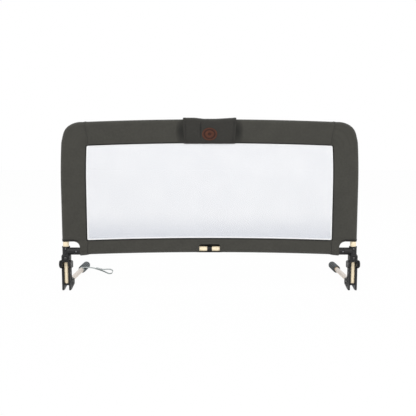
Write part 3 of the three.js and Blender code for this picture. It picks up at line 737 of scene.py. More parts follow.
cuts = [
    rod((-leg_x, 0, bore_bottom), (-leg_x, 0, collar_top + 5), frame_tube_radius + tube_gap, fine_sides),
    rod(
        (-leg_x + 22, 0, lower_height),
        (-leg_x + branch_reach + 5, 0, lower_height),
        rail_tube_radius + tube_gap,
        fine_sides,
    ),
    block(
        (-leg_x - window_half, -leg_x + window_half),
        (-block_half_depth - 5, -4),
        (button_height - window_half, button_height + window_half),
    ),
    rod((-leg_x, -6, button_height), (-leg_x, 4.5, button_height), spring_bore_radius),
    rod((-leg_x, -30, collar_screw_height), (-leg_x, -13.4, collar_screw_height), screw_recess_radius),
    rod((branch_screw_x, -30, lower_height), (branch_screw_x, -13.2, lower_height), screw_recess_radius),
]
for near, far in ((13, 20), (-20, -13)):
    pivot = (-pivot_forward, pivot_height)
    cuts.append(rod((-leg_x + near, *pivot), (-leg_x + far, *pivot), pin_bore_radius))
# The base's sides have two shallow grip hollows
for x in (-leg_x - block_half_width, -leg_x + block_half_width):
    cuts.append(block((x - grip_hollow, x + grip_hollow), (-11, 11), (125, 141)))
block_moulding = moulded("nylon_corner_block", shapes, cuts)
both_sides(block_moulding, nylon, "black_moulding", "guard", "corner_block", crease=60)

# Release buttons
# Acetal caps that slide in the blocks' windows on a spring, with a shallow dish for the finger and
# a short rib in it, drawn pale grey as a painted glint. A pocket behind takes the spring's end.
button_depth = 11
button_front = -block_half_depth - 1
dish_depth = 1
dish_half = button_half - 1.6
pocket_radius = 4.8
pocket_depth = 4
# The cap's rim from its face back: how far each row is drawn in, and how far back it lies
cap_rim = [(1.6, 0), (0.5, 0.35), (0, 1.1), (0, button_depth)]

acetal, tree, shader = surface("acetal_button", "#141415", 0.42)
raised(tree, shader, speckle(tree, on_piece(tree), 0.8), 0.01)


def cap_row(half, radius, y):
    """A rounded square round the button's axis, at a depth."""
    return [Vector((x, y, z)) for x, z in rounded(half, half, radius, (-leg_x, button_height))]


cap_rows = [cap_row(button_half - inset, 1.8 - min(inset, 1), button_front + y) for inset, y in cap_rim]
for y in (button_front + button_depth, button_front + button_depth - pocket_depth):
    cap_rows.append(cap_row(pocket_radius, pocket_radius - 0.05, y))
for share in (0.85, 0.6, 0.35, 0.1):
    dip = dish_depth * (1 - share**2)
    cap_rows.insert(0, cap_row(dish_half * share, 0.7 * share, button_front + dip))
both_sides(
    skin("acetal_button", cap_rows, ring=True, caps=True),
    acetal,
    "button_plastic",
    "button",
    "release_button",
)

# The rib's pale grey is a painted glint, mottled a little
painted_glint_acetal, tree, shader = surface("acetal_painted_glint", "#7c7c7a", 0.4)
glint_mottle = speckle(tree, on_piece(tree), 1.5)
tree.links.new(shade(tree, glint_mottle, "#5c5c5b", "#9a9a98"), shader.inputs["Base Color"])
finger_rib = block(
    (-leg_x - 3.7, -leg_x + 3.7),
    (button_front - 0.5, button_front + 1.6),
    (button_height + 2.4, button_height + 4.6),
)
finger_rib.name = "finger_rib"
softened = finger_rib.modifiers.new("rounded", "BEVEL")
softened.width = 0.4 * MM
softened.segments = 2
both_sides(finger_rib, painted_glint_acetal, "button_plastic", "button", crease=40)

# Screws
# Pan-head cross-recess screws of blackened steel that pin each tube in its block: one through the
# collar and one through the branch.
screw_head_radius = 3.7
screw_head_height = 1.8
screw_rim = 0.7
cross_length = 2
cross_width = 0.42
# Where each screw's axis stands across and in height, and the depth of its seat
screw_plan = {
    "collar_screw": (-leg_x, collar_screw_height, -15.4),
    "branch_screw": (branch_screw_x, lower_height, -15.2),
}

blackened, tree, shader = surface("blackened_steel", "#6c6c6f", 0.3, metallic=1.0)
spot = on_piece(tree)
wear = speckle(tree, spot, 1.2, 4)
tree.links.new(shade(tree, wear, "#4d4d50", "#8b8b8e"), shader.inputs["Base Color"])
raised(tree, shader, wear, 0.02)
for name, (x, z, y) in screw_plan.items():
    profile = [(-8, 1.5), (0.2, 1.6), (0.2, screw_head_radius), (screw_rim, screw_head_radius)]
    profile += [
        (screw_rim + (screw_head_height - screw_rim) * math.sin(a), screw_head_radius * math.cos(a) ** 0.6)
        for a in (math.radians(step) for step in (15, 35, 55, 75, 88))
    ]
    head = turned_along(name, (x, y + screw_head_height, z), (0, -1, 0), profile)
    cross = [
        block((x - a, x + a), (y - 1, y + 0.9), (z - b, z + b))
        for a, b in ((cross_length, cross_width), (cross_width, cross_length))
    ]
    combine(head, "DIFFERENCE", cross)
    plain(head)
    drop(cross)
    head.name = f"{name}_head"
    both_sides(head, blackened, "blackened_steel", "guard", name, crease=30)

# Button springs
# Small coil springs of music wire behind the buttons, zinc plated. They are hidden in the blocks, so
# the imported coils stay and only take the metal's finish.
zinc, tree, shader = surface("zinc_plated_steel", "#8f8f8b", 0.4, metallic=1.0)
spot = on_piece(tree)
bloom = speckle(tree, spot, 3, 4)
tree.links.new(shade(tree, bloom, "#6c6c69", "#8c8c88"), shader.inputs["Base Color"])
tree.links.new(reckon(tree, "MULTIPLY_ADD", bloom, 0.25, 0.2), shader.inputs["Roughness"])
for side in ("left", "right"):
    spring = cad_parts[f"button_spring_{side}"]
    spring.material_slots[0].link = "OBJECT"
    spring.material_slots[0].material = zinc

# Brackets
# One nylon moulding a side: two walls that stand on the floor, joined by a back wall, front lips and
# a bar, with gussets round the arm, ribbed outer faces and two ears for the hinge pins.
bracket_half = 17.5
bracket_front = 14
bracket_back = 16
bracket_top = 96
shoulder_top = 119.7
cavity_half = 10.6
slot_half = 8.5
lip_depth = 7
gusset_reach = 65
ear_inner = 17.6
ear_outer = 24
ear_radius = 14
ear_bottom = 93
bar_bottom = 22
bar_top = 28
recess_depth = 2.5
ear_bore_radius = 4.3
rivet_bore_radius = 3.3
# Where each rivet's axis lies behind the guard's plane, and its height
rivet_plan = {"upright_rivet": (0, 72), "arm_rivet": (40, 26.06)}

# Outlines in y and z
wall_outline = [
    (-bracket_front, 5), (-bracket_front + 2, 1), (-bracket_front + 4, 0), (10, 0),
    (gusset_reach - 2, 10.2), (gusset_reach, 12.5), (gusset_reach, 32), (gusset_reach - 3, 35.6),
    (30, 45.8), (21, 49.5), (17.2, 55), (bracket_back, 62), (bracket_back, shoulder_top),
    (-3, shoulder_top), (-3, bracket_top), (-bracket_front, bracket_top),
]
ear_outline = arc(ear_radius, 235, 90, 24, (-pivot_forward, pivot_height))
ear_outline += [(-6, 125.6), (0, 124), (bracket_back, 117.7)]
ear_outline += [(bracket_back, ear_bottom), (-bracket_front, ear_bottom)]
ear_root = [
    (-bracket_front, ear_bottom), (bracket_back, ear_bottom), (bracket_back, 117.7),
    (-3, 117.7), (-3, bracket_top), (-bracket_front, bracket_top),
]
recess_outline = [(-8, 9), (59, 17), (59, 29), (25, 39.5), (14, 46), (10, 56), (10, 87), (-8, 87)]


def leg_span(sign, inner, outer):
    """The places along x between two distances from the leg's axis, on one side of it."""
    return sorted((-leg_x + sign * inner, -leg_x + sign * outer))


shapes = []
cuts = []
for sign in (-1, 1):
    shapes.append(slab(wall_outline, *leg_span(sign, cavity_half, bracket_half)))
    shapes.append(slab(ear_outline, *leg_span(sign, ear_inner, ear_outer)))
    shapes.append(slab(ear_root, *leg_span(sign, cavity_half, ear_outer)))
    lip = (leg_span(sign, slot_half, bracket_half), (-bracket_front, -lip_depth), (bar_bottom, bracket_top))
    shapes.append(block(*lip))
    cuts.append(slab(recess_outline, *leg_span(sign, bracket_half - recess_depth, bracket_half + 5)))
    pivot = (-pivot_forward, pivot_height)
    cuts.append(rod((-leg_x + sign * lug_inner, *pivot), (-leg_x + sign * 30, *pivot), ear_bore_radius))
    for y, z in rivet_plan.values():
        cuts.append(rod((-leg_x + sign * 10, y, z), (-leg_x + sign * 30, y, z), rivet_bore_radius))
whole_width = (-leg_x - bracket_half, -leg_x + bracket_half)
shapes.append(block(whole_width, (cavity_half, bracket_back), (54, shoulder_top)))
shapes.append(block(whole_width, (-bracket_front, -bracket_front + 6), (bar_bottom, bar_top)))
bracket_moulding = moulded("nylon_bracket", shapes, cuts, fine=0.9)
both_sides(bracket_moulding, nylon, "black_moulding", "leg", "bracket", crease=60)

# Ribs in the recesses of the bracket's outer faces, part of the same moulding
rib_half = 0.8
rib_lines = [
    ((-8, 20), (14, 46)), ((-8, 46), (10, 60)), ((10, 62), (-8, 80)),
    ((20, 12.5), (30, 38)), ((46, 15.5), (52, 31.5)),
]
ribs = []
for sign in (-1, 1):
    span = leg_span(sign, bracket_half - 0.5, bracket_half - recess_depth - 0.5)
    for low, high in rib_lines:
        low, high = Vector(low), Vector(high)
        way = (high - low).normalized()
        aside = Vector((-way.y, way.x)) * rib_half
        ribs.append(slab([low - aside, low + aside, high + aside, high - aside], *span))
rib_body = ribs[0]
rib_body.name = "nylon_bracket_ribs"
joined = bmesh.new()
for rib in ribs:
    joined.from_mesh(rib.data)
joined.to_mesh(rib_body.data)
joined.free()
drop(ribs[1:])
both_sides(rib_body, nylon, "black_moulding", "leg")

# Hinge pins
# Stub pins of zinc plated steel, pressed into the ears from outside. Their domed heads close the
# outer bores.
pin_profile = [(0, 2), (0, 3.2), (0.4, 3.9), (1, 4), (9.6, 4), (10.3, 3.3)]
for name, start, way in (("outer", -ear_outer, 1), ("inner", ear_outer, -1)):
    seat = (-leg_x + start, -pivot_forward, pivot_height)
    pin = turned_along(f"hinge_pin_{name}", seat, (way, 0, 0), pin_profile)
    both_sides(pin, zinc, "zinc_steel", "leg", f"hinge_pin_{name}")

# Rivets
# Zinc plated steel rivets through both walls: one through the upright tube and one through the arm,
# with low domed heads in the recesses.
rivet_head = [(-17, 0.4), (-16.9, 1.8), (-16.5, 3.4), (-15.9, 4.6), (-15.3, 5)]
rivet_profile = [*rivet_head, (-15.3, 3), (15.3, 3)]
rivet_profile += [(-along, radius) for along, radius in reversed(rivet_head)]
for name, (y, z) in rivet_plan.items():
    rivet = turned_along(name, (-leg_x, y, z), (1, 0, 0), rivet_profile)
    both_sides(rivet, zinc, "zinc_steel", "leg", name)

# Upright tubes
# Straight steel tubes 20 mm across, powder coated cream, which show in the brackets' slots. Each
# is closed at its foot by a pressed cap with a rounded rim that stands on the front bar.
upright_radius = 10
upright_bottom = 36.1
upright_top = 117
cap_foot = 28.3
route = [Vector((-leg_x, 0, upright_bottom + (upright_top - upright_bottom) * i / 4)) for i in range(5)]
upright_tube = tube("steel_upright", route, upright_radius, powder_coat)
both_sides(upright_tube, powder_coat, "cream_enamel", "leg", "upright_tube")
profile = [
    (0, 6.5), (0.25, 7.6), (1, 9), (2, 9.8), (3, upright_radius), (7.2, upright_radius), (7.5, 9.7),
    (7.5, 8.5), (19, 8.5), (19.5, 8),
]
cap = turned_along("steel_tube_cap", (-leg_x, 0, cap_foot), (0, 0, 1), profile)
both_sides(cap, powder_coat, "cream_enamel", "leg", "upright_tube_cap")

# Arm tubes
# Steel tubes 20 mm across that run back from the brackets under the mattress and slope down a
# little to the floor, in the same coat, drawn in a paler copy as painted light from the floor below.
arm_height = 27
arm_reach = 408
grip_radius = 17
grip_length = 107
grip_lift = 0.4
arm_end_height = grip_radius + grip_lift
arm_way = Vector((0, arm_reach, arm_end_height - arm_height)).normalized()
arm_across = Vector((1, 0, 0))
arm_up = arm_way.cross(-arm_across)
arm_length = math.hypot(arm_reach, arm_height - arm_end_height)
arm_start = Vector((-leg_x, 0, arm_height))
arm_tube_start = 10.6

# The arms' coat is drawn paler and greyer than the cream as painted light from the floor below
arm_coat_painted_pale, tree, shader = surface("powder_coated_arm_painted_pale", "#d8cdbf", 0.36, coat_weight=0.2)
spot = on_piece(tree)
raised(tree, shader, speckle(tree, spot, 1.6), 0.05)
handled = reckon(tree, "MULTIPLY_ADD", speckle(tree, spot, 45, 4), 0.16, 0.29)
tree.links.new(handled, shader.inputs["Roughness"])
# At the grip's rim the coat keeps its cream, and its lower side is drawn tan as painted shade
grip_place = guard_plane / MM + arm_reach - grip_length
behind = node(tree, "ShaderNodeSeparateXYZ", {0: spot}).outputs[1]
at_rim = node(tree, "ShaderNodeMapRange", {0: behind, 1: grip_place - 16, 2: grip_place - 3}).outputs[0]
normal = node(tree, "ShaderNodeNewGeometry").outputs["Normal"]
facing = node(tree, "ShaderNodeSeparateXYZ", {0: normal}).outputs[2]
# Painted shade: where the surface faces down, the coat is drawn tan
painted_shade_below = node(tree, "ShaderNodeMapRange", {0: facing, 1: 0.1, 2: -0.7}).outputs[0]
rim_cream_and_painted_shade = reckon(tree, "MAXIMUM", at_rim, painted_shade_below)
tree.links.new(shade(tree, rim_cream_and_painted_shade, "#d8cdc2", "#e2c296"), shader.inputs["Base Color"])
route = [
    arm_start + arm_way * (arm_tube_start + (arm_length - arm_tube_start) * i / 8)
    for i in range(9)
]
arm_tube = tube("steel_arm", route, arm_tube_radius, arm_coat_painted_pale)
both_sides(arm_tube, arm_coat_painted_pale, "cream_enamel", "leg", "arm_tube")

# Arm grips
# Sleeves of closed-cell EVA foam with fourteen grooves along them, pushed over the arms' ends. The
# near rim is rounded and lets the tube's coat show.
grip_ribs = 14
grip_columns = 12 * grip_ribs
groove_depth = 2.4
grip_bore_radius = 10.4
# Rows along the sleeve: how far each lies from its near end, and how far it is drawn in
grip_stops = [(0, 1.6), (0.5, 0.5), (1.6, 0), (28, 0), (55, 0), (82, 0)]
grip_stops += [(grip_length - along, pull) for along, pull in reversed(grip_stops[:3])]

grip_rows = []
for along, pull in grip_stops:
    centre = arm_start + arm_way * (arm_length - grip_length + along)
    row = []
    for i in range(grip_columns):
        angle = 2 * math.pi * i / grip_columns
        groove = max(0, -math.cos(grip_ribs * angle)) ** 1.5
        radius = grip_radius - pull - groove_depth * groove
        row.append(centre + arm_across * radius * math.cos(angle) + arm_up * radius * math.sin(angle))
    grip_rows.append(row)
for along in (grip_length, 0):
    centre = arm_start + arm_way * (arm_length - grip_length + along)
    bore = circle_of(grip_bore_radius, grip_columns)
    grip_rows.append([centre + arm_across * a + arm_up * b for a, b in bore])
grip_rows.append(grip_rows[0])
girdle = grip_rows[3]
rib_pitch = sum((b - a).length for a, b in zip(girdle, [*girdle[1:], girdle[0]])) / grip_ribs

# The ribs' crests are drawn pale as painted highlight and the grooves dark as painted shade, under a random
# mottle
foam, tree, shader = surface("eva_foam", "#3f4548", 0.82)
spot = on_piece(tree)
cells = node(tree, "ShaderNodeTexVoronoi", {"Vector": spot, "Scale": 1 / 0.7}).outputs["Distance"]
around_grip = node(tree, "ShaderNodeSeparateXYZ", {0: on_cloth(tree)}).outputs[1]
crest = reckon(tree, "COSINE", reckon(tree, "MULTIPLY", around_grip, 2 * math.pi / rib_pitch))
crest = reckon(tree, "POWER", reckon(tree, "MULTIPLY_ADD", crest, 0.5, 0.5), 1.6)
# Painted highlight on the rib crests
painted_crest_highlight = reckon(tree, "MULTIPLY", crest, 0.8)
foam_tone_and_painted_rib_light = reckon(tree, "MULTIPLY_ADD", speckle(tree, spot, 9, 3), 0.3, painted_crest_highlight)
tree.links.new(shade(tree, foam_tone_and_painted_rib_light, "#1b1e20", "#797f82"), shader.inputs["Base Color"])
raised(tree, shader, cells, 0.12)
sleeve = skin("foam_grip", grip_rows, ring=True)
for grip in both_sides(sleeve, foam, "grey_foam", "leg", "arm_grip", crease=50):
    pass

# Arm end plugs
# Plugs of the same nylon in the arms' open ends. Each reaches 18 mm into its tube, and its domed
# flange covers the end of the foam.
profile = [
    (-18, 7.4), (-17, 8.4), (0.3, 8.4), (0.3, 15.6), (1.4, 16), (2.4, 15.2), (3, 13.4), (3.2, 9), (3.2, 4),
]
plug = turned_along("nylon_arm_plug", arm_start + arm_way * arm_length, arm_way, profile)
both_sides(plug, nylon, "black_moulding", "leg", "arm_end_plug")

# Strap band
# The same webbing, wrapped once round the left arm in front of its grip and sewn to itself over the
# top, where the tail leaves.
band_radius = arm_tube_radius + 0.3
band_steps = 72
band_section = [(-1, 0), (-0.94, 1), (0.94, 1), (1, 0)]
tab_steps = 12
band_rows = []
for i in range(band_steps + 1):
    angle = 2 * math.pi * i / band_steps
    row = []
    for a, b in band_section:
        radius = band_radius + b * webbing_thickness + 0.12 * noise.noise(Vector((angle * 3, a, 4)))
        centre = arm_start + arm_way * (strap_start.y + a * webbing_width / 2)
        row.append(centre + Vector((radius * math.cos(angle), 0, 0)) + arm_up * radius * math.sin(angle))
    band_rows.append(row)
band = skin("pull_strap_band", band_rows, ring=True)
finished(band, webbing, "pale_webbing", "leg_left", "strap_band")

# The tail's sewn end lies on the band as a short tab over the arm
tab_rows = []
for i in range(tab_steps + 1):
    ahead = -20 + 19.7 * i / tab_steps
    height = 30.9 + 0.35 * math.cos(math.pi * i / tab_steps)
    centre = strap_start + strap_ahead * ahead + Vector((0, 0, height))
    tab_rows.append([
        centre + strap_across * (a * webbing_width / 2) + Vector((0, 0, b * webbing_thickness / 2))
        for a, b in strap_section
    ])
tab = skin("pull_strap_tab", tab_rows, ring=True, caps=True)
finished(tab, webbing, "pale_webbing", "leg_left")

# Cover: side bands
# Two layers of dark olive-grey polyester oxford, cut as one piece a side: it goes over the side tube
# and the rounded top corner and down to the lower rail, with a cut-out for the corner block.
cloth_wall = 1.2
sleeve_radius = 14
layer_half = 2
side_reach = 88
top_reach = 81
seam_x = leg_x - side_reach
side_bottom = 204
cut_out_radius = 28
cut_out_centre = (-cut_out_x - cut_out_radius, side_bottom - cut_out_radius)
lower_sleeve_radius = 14.5
lower_reach = 44.6
foot_sleeve_radius = 15.4
branch_sleeve_radius = 17.4
window_corner = Vector((-seam_x, 0, top_rail(seam_x) - top_reach))
side_steps = 53
corner_steps = 30
foot_steps = 10
flat_steps = 14
near_steps = 7
round_steps = 28


def oxford_cloth(name, thin, full, shade_depth, hollow, mirrored=True):
    """Polyester oxford between two depths of dye. Warp and weft are drawn as crossing threads 1.6 mm
    apart with slub along them, under a mottled dye that changes over 9 to 60 mm. A fine nap
    softens its highlights. Round a hollow, given as middle and half size in x and then in z, the
    dye is darkened as painted shade. Where it is mirrored, both sides of the guard have it."""
    made, tree, shader = surface(name, full, 0.86, sheen_weight=0.25, sheen_roughness=0.5)
    shader.inputs["Specular IOR Level"].default_value = 0.25
    spot = on_cloth(tree)
    warp = wave(tree, spot, 1.6, "X")
    weft = wave(tree, spot, 1.6, "Y")
    crossed = reckon(tree, "ABSOLUTE", reckon(tree, "SUBTRACT", warp, weft))
    slub = speckle(tree, spot, 2.2, 4)
    broad = reckon(tree, "MULTIPLY", speckle(tree, spot, 60, 3), 0.4)
    mottled = reckon(tree, "MULTIPLY_ADD", speckle(tree, spot, 9, 3), 0.45, broad)
    tone = reckon(tree, "ADD", mottled, reckon(tree, "MULTIPLY", crossed, 0.15))
    place = node(tree, "ShaderNodeSeparateXYZ", {0: on_piece(tree)}).outputs
    reach = reckon(tree, "ABSOLUTE", place[0]) if mirrored else place[0]
    aside = reckon(tree, "DIVIDE", reckon(tree, "SUBTRACT", reach, hollow[0]), hollow[1])
    lift = reckon(tree, "DIVIDE", reckon(tree, "SUBTRACT", place[2], hollow[2]), hollow[3])
    away = reckon(tree, "MULTIPLY_ADD", aside, aside, reckon(tree, "MULTIPLY", lift, lift))
    # Painted shade in the hollow, darkening the dye towards near black
    painted_hollow_shade = reckon(tree, "MULTIPLY", reckon(tree, "SUBTRACT", 1, away, use_clamp=True), shade_depth)
    dye = shade(tree, tone, thin, full)
    dye_with_painted_shade = node(tree, "ShaderNodeMix", {0: painted_hollow_shade, 6: dye, 7: linear("#191917")}, data_type="RGBA")
    tree.links.new(dye_with_painted_shade.outputs[2], shader.inputs["Base Color"])
    raised(tree, shader, reckon(tree, "ADD", crossed, reckon(tree, "MULTIPLY", slub, 0.8)), 0.12)
    return made


# The cover's oxford has painted shade in the hollows beside the flap
oxford = oxford_cloth("polyester_oxford", "#302f2b", "#4a4943", 0.8, (112, 25, 646, 56))

# Polyester binding: a darker dye on a close ribbed tape. Round the window its dark is painted shade of the
# seam's valley
binding_dye_and_seam_shade, tree, shader = surface("polyester_binding_dye_and_painted_shade", "#34332f", 0.8, sheen_weight=0.15)
shader.inputs["Specular IOR Level"].default_value = 0.25
spot = on_cloth(tree)
ribs = wave(tree, spot, 1.1, "X")
tree.links.new(shade(tree, speckle(tree, spot, 5, 3), "#1e1d1b", "#2c2b29"), shader.inputs["Base Color"])
raised(tree, shader, ribs, 0.12)


def lean(radius, half, reach):
    """The angle from the window's direction at which straight cloth leaves a round sleeve."""
    return math.atan2(half, reach) + math.acos(radius / math.hypot(reach, half))


def tent(radius, half, reach, shares):
    """A section from the front window edge round the sleeve to the back: (inward, out) pairs."""
    angle = lean(radius, half, reach)
    touch = (radius * math.cos(angle), radius * math.sin(angle))
    front = [(reach + (touch[0] - reach) * s, -half - (touch[1] - half) * s) for s in shares]
    swing = [angle + (2 * math.pi - 2 * angle) * i / round_steps for i in range(1, round_steps)]
    around = [(radius * math.cos(a), -radius * math.sin(a)) for a in swing]
    back = [(a, -b) for a, b in reversed(front)]
    return [*front, *around, *back]


def lower_half(height, radius):
    """Half the lower sleeve's thickness at a height over its rail, above where it turns round."""
    angle = lean(radius, layer_half, lower_reach)
    touch = (radius * math.cos(angle), radius * math.sin(angle))
    share = max(0, min(1, (lower_reach - height) / (lower_reach - touch[0])))
    return layer_half + (touch[1] - layer_half) * share


def corner_half(side, height, radius):
    """Half the cover's thickness where the side sleeve runs into the lower one, from 48 mm over the
    lower rail down: the thicker of the two, with a soft change."""
    other = lower_half(height, radius)
    joined = 0.5 * (side + other + math.sqrt((side - other) ** 2 + 4))
    ease = max(0, min(1, (48 - height) / 12))
    return side + (joined - side) * ease


def lower_radius_at(x):
    """The radius of the lower sleeve, wider where it passes over the block's branch."""
    share = max(0, min(1, (abs(x) - seam_x) / (cut_out_x - seam_x)))
    return foot_sleeve_radius + (branch_sleeve_radius - foot_sleeve_radius) * share**0.7


def puffed(point, depth=0.5):
    """A point on the cloth, moved out a little and unevenly, as hand-pulled cloth lies."""
    low = noise.noise(Vector((point.x * 0.016, point.z * 0.012, 7 + math.copysign(3, point.y))))
    fine = noise.noise(Vector((point.x * 0.06, point.z * 0.05, 11 + math.copysign(3, point.y))))
    out = depth * (1 + low + 0.5 * fine) * min(1, abs(point.y) / 6)
    return Vector((point.x, point.y + math.copysign(out, point.y), point.z))


def cloth(piece, parts=()):
    """Joins grids of cloth into one sheet with its right side out and gives it its thickness."""
    sheet = bmesh.new()
    for part in (piece, *parts):
        sheet.from_mesh(part.data)
    for part in parts:
        bpy.data.objects.remove(part)
    bmesh.ops.remove_doubles(sheet, verts=sheet.verts, dist=0.05 * MM)
    bmesh.ops.dissolve_degenerate(sheet, edges=sheet.edges, dist=0.01 * MM)
    sheet.normal_update()
    faced = sum(f.normal.y * (f.calc_center_median().y - guard_plane) * f.calc_area() for f in sheet.faces)
    if faced < 0:
        bmesh.ops.reverse_faces(sheet, faces=sheet.faces)
    sheet.to_mesh(piece.data)
    sheet.free()
    wall = piece.modifiers.new("cloth", "SOLIDIFY")
    wall.thickness = cloth_wall * MM
    wall.offset = -1
    return piece


def on_back(row):
    """The same points on the cover's back."""
    return [Vector((p.x, -p.y, p.z)) for p in row]


side_lean = lean(sleeve_radius, layer_half, side_reach)
side_touch = sleeve_radius * math.cos(side_lean)
cut_share = (side_reach - (cut_out_centre[0] + leg_x)) / (side_reach - side_touch)
side_shares = [cut_share * i / flat_steps for i in range(flat_steps + 1)]
side_shares += [cut_share + (1 - cut_share) * i / near_steps for i in range(1, near_steps + 1)]

# Rows up the side, round the corner and along the top to the seam: an axis point, the way to the
# window, and where the row's inner end lies
rows_plan = []
for i in range(side_steps + 1):
    z = side_bottom + (window_corner.z - side_bottom) * i / side_steps
    rows_plan.append((Vector((-leg_x, 0, z)), Vector((1, 0, 0)), Vector((-seam_x, 0, z))))
bend_centre = Vector((-leg_x + corner_bend, 0, corner_height - corner_bend))
for i in range(corner_steps + 1):
    angle = math.radians(180 - 90 * i / corner_steps)
    out = Vector((math.cos(angle), 0, math.sin(angle)))
    rows_plan.append((bend_centre + out * corner_bend, -out, window_corner))
for x in (-seam_x - 12, -seam_x - 8, -seam_x - 4, -seam_x):
    rows_plan.append((Vector((x, 0, top_rail(x))), Vector((0, 0, -1)), window_corner))

side_rows = []
for axis, inward, end in rows_plan:
    reach = (end - axis).length
    bend = axis + inward * reach * 0.5
    row = []
    for a, b in tent(sleeve_radius, layer_half, reach, side_shares):
        share = max(0, a / reach)
        base = axis * (1 - share) ** 2 + bend * 2 * share * (1 - share) + end * share**2
        if a < 0:
            base = axis + inward * a
        half = abs(b)
        if share > 0:
            half = corner_half(half, axis.z - lower_height, lower_radius_at(base.x))
        row.append(base + Vector((0, math.copysign(half, b), 0)))
    side_rows.append(row)

# Rows from the foot of the front, down round the lower rail and up the back
foot_rise = side_bottom - lower_height
front_rows = []
for i in range(foot_steps + 1):
    angle = math.radians(90 - 90 * i / foot_steps)
    edge = cut_out_centre[0] + cut_out_radius * math.cos(angle)
    z = cut_out_centre[1] + cut_out_radius * math.sin(angle)
    row = []
    for j in range(flat_steps + 1):
        x = -seam_x + (edge + seam_x) * j / flat_steps
        height = z - lower_height
        # The rows start level with the side's and follow the arch of the rail at their foot
        settled = lower_height + height + (lower_rail(x) - lower_height) * (1 - height / foot_rise)
        share = (side_reach - x - leg_x) / (side_reach - side_touch)
        side_half = layer_half + (sleeve_radius * math.sin(side_lean) - layer_half) * share
        row.append(Vector((x, -corner_half(side_half, height, lower_radius_at(x)), settled)))
    front_rows.append(row)
under_columns = []
for start in front_rows[-1]:
    radius = lower_radius_at(start.x)
    angle = lean(radius, layer_half, lower_reach)
    touch = (radius * math.cos(angle), radius * math.sin(angle))
    top = start.z - lower_rail(start.x)
    down = [(top + (touch[0] - top) * s, start.y - (touch[1] + start.y) * s) for s in (1 / 3, 2 / 3, 1)]
    swing = [angle + (2 * math.pi - 2 * angle) * i / round_steps for i in range(1, round_steps)]
    around = [(radius * math.cos(a), -radius * math.sin(a)) for a in swing]
    up = [(height, -y) for height, y in reversed(down)]
    section = [*down, *around, *up]
    under_columns.append([Vector((start.x, y, lower_rail(start.x) + height)) for height, y in section])
under_rows = [list(row) for row in zip(*under_columns)]
back_rows = [on_back(row) for row in reversed(front_rows)]
foot_rows = [*front_rows, *under_rows, *back_rows]
side_grid = skin("oxford_side_band", [[puffed(p) for p in row] for row in side_rows])
foot_grid = skin("oxford_foot", [[puffed(p) for p in row] for row in foot_rows])
side_band = cloth(side_grid, [foot_grid])
side_bands = both_sides(side_band, oxford, "grey_cloth", "guard", "cover_side_band", crease=50)


def binding_rows(edge, inward, width=8, closed=True):
    """Rows of a strip folded over a cloth edge, from the edge and the ways into the cloth."""
    profile = [
        (width, 0.1), (width - 0.4, 0.5), (width * 0.6, 0.62), (0.6, 0.6), (-0.7, 0.4), (-1.1, -0.6),
        (-0.7, -1.6), (0.6, -1.8), (width * 0.6, -1.8), (width - 0.4, -1.7), (width, -1.3),
    ]
    count = len(edge)
    rows = []
    for i, point in enumerate(edge):
        following = edge[(i + 1) % count] if closed else edge[min(i + 1, count - 1)]
        before = edge[i - 1] if closed else edge[max(i - 1, 0)]
        ahead = (following - before).normalized()
        into = (inward[i] - ahead * inward[i].dot(ahead)).normalized()
        out = into.cross(ahead)
        rows.append([point + into * a + out * b for a, b in profile])
    return [*rows, rows[0]] if closed else rows


# Stitches along a mesh line: a rounded bar of thread for each, along the line
stitch_group, given = node_group("stitches_on_route", [
    ("Pitch", "NodeSocketFloat", 0.004),
    ("Length", "NodeSocketFloat", 0.003),
    ("Width", "NodeSocketFloat", 0.001),
    ("Material", "NodeSocketMaterial", None),
])
line = node(stitch_group, "GeometryNodeMeshToCurve", {"Mesh": given["Geometry"]})
spaced = node(
    stitch_group,
    "GeometryNodeResampleCurve",
    {"Curve": line.outputs[0], "Length": given["Pitch"]},
    mode="LENGTH",
)
tangent = node(stitch_group, "GeometryNodeInputTangent").outputs[0]
heading = node(stitch_group, "FunctionNodeAlignEulerToVector", {"Vector": tangent}, axis="X")
bead = node(stitch_group, "GeometryNodeMeshUVSphere", {"Segments": 8, "Rings": 4, "Radius": 0.5})
sizes = {0: given["Length"], 1: given["Width"], 2: given["Width"]}
size = node(stitch_group, "ShaderNodeCombineXYZ", sizes)
bar = node(stitch_group, "GeometryNodeTransform", {"Geometry": bead.outputs[0], "Scale": size.outputs[0]})
set_out = node(stitch_group, "GeometryNodeInstanceOnPoints", {
    "Points": spaced.outputs[0],
    "Instance": bar.outputs[0],
    "Rotation": heading.outputs[0],
})
close_group(stitch_group, set_out.outputs[0], given["Material"])


def twisted_thread(name, colour):
    """Bonded polyester thread with a fine twist."""
    made, tree, shader = surface(name, colour, 0.6)
    raised(tree, shader, wave(tree, on_piece(tree), 0.5, "DIAGONAL"), 0.05)
    return made


# A seam's stitches are drawn up to 2.4 mm wide, where the real thread is about 0.6 mm, so that the
# seam shows from the front
dark_thread = twisted_thread("polyester_thread", "#1f1e1c")
stitch_gap = 0.7
seam_stitch = 2.4


def stitches(
    name, *routes, width=1.6, pitch=4.2, material=dark_thread, slot_name="grey_cloth", body="guard"
):
    """Rows of stitches along open routes, in millimetres, as one piece."""
    points = [in_metres(point) for route in routes for point in route]
    edges = []
    start = 0
    for route in routes:
        edges += [(start + i, start + i + 1) for i in range(len(route) - 1)]
        start += len(route)
    mesh = bpy.data.meshes.new(name)
    mesh.from_pydata(points, edges, [])
    made = bpy.data.objects.new(name, mesh)
    scene.collection.objects.link(made)
    sizes = {"Pitch": pitch * MM, "Length": (pitch - stitch_gap) * MM, "Width": width * MM}
    run_group(made, stitch_group, {**sizes, "Material": material})
    return finished(made, material, slot_name, body, crease=80)


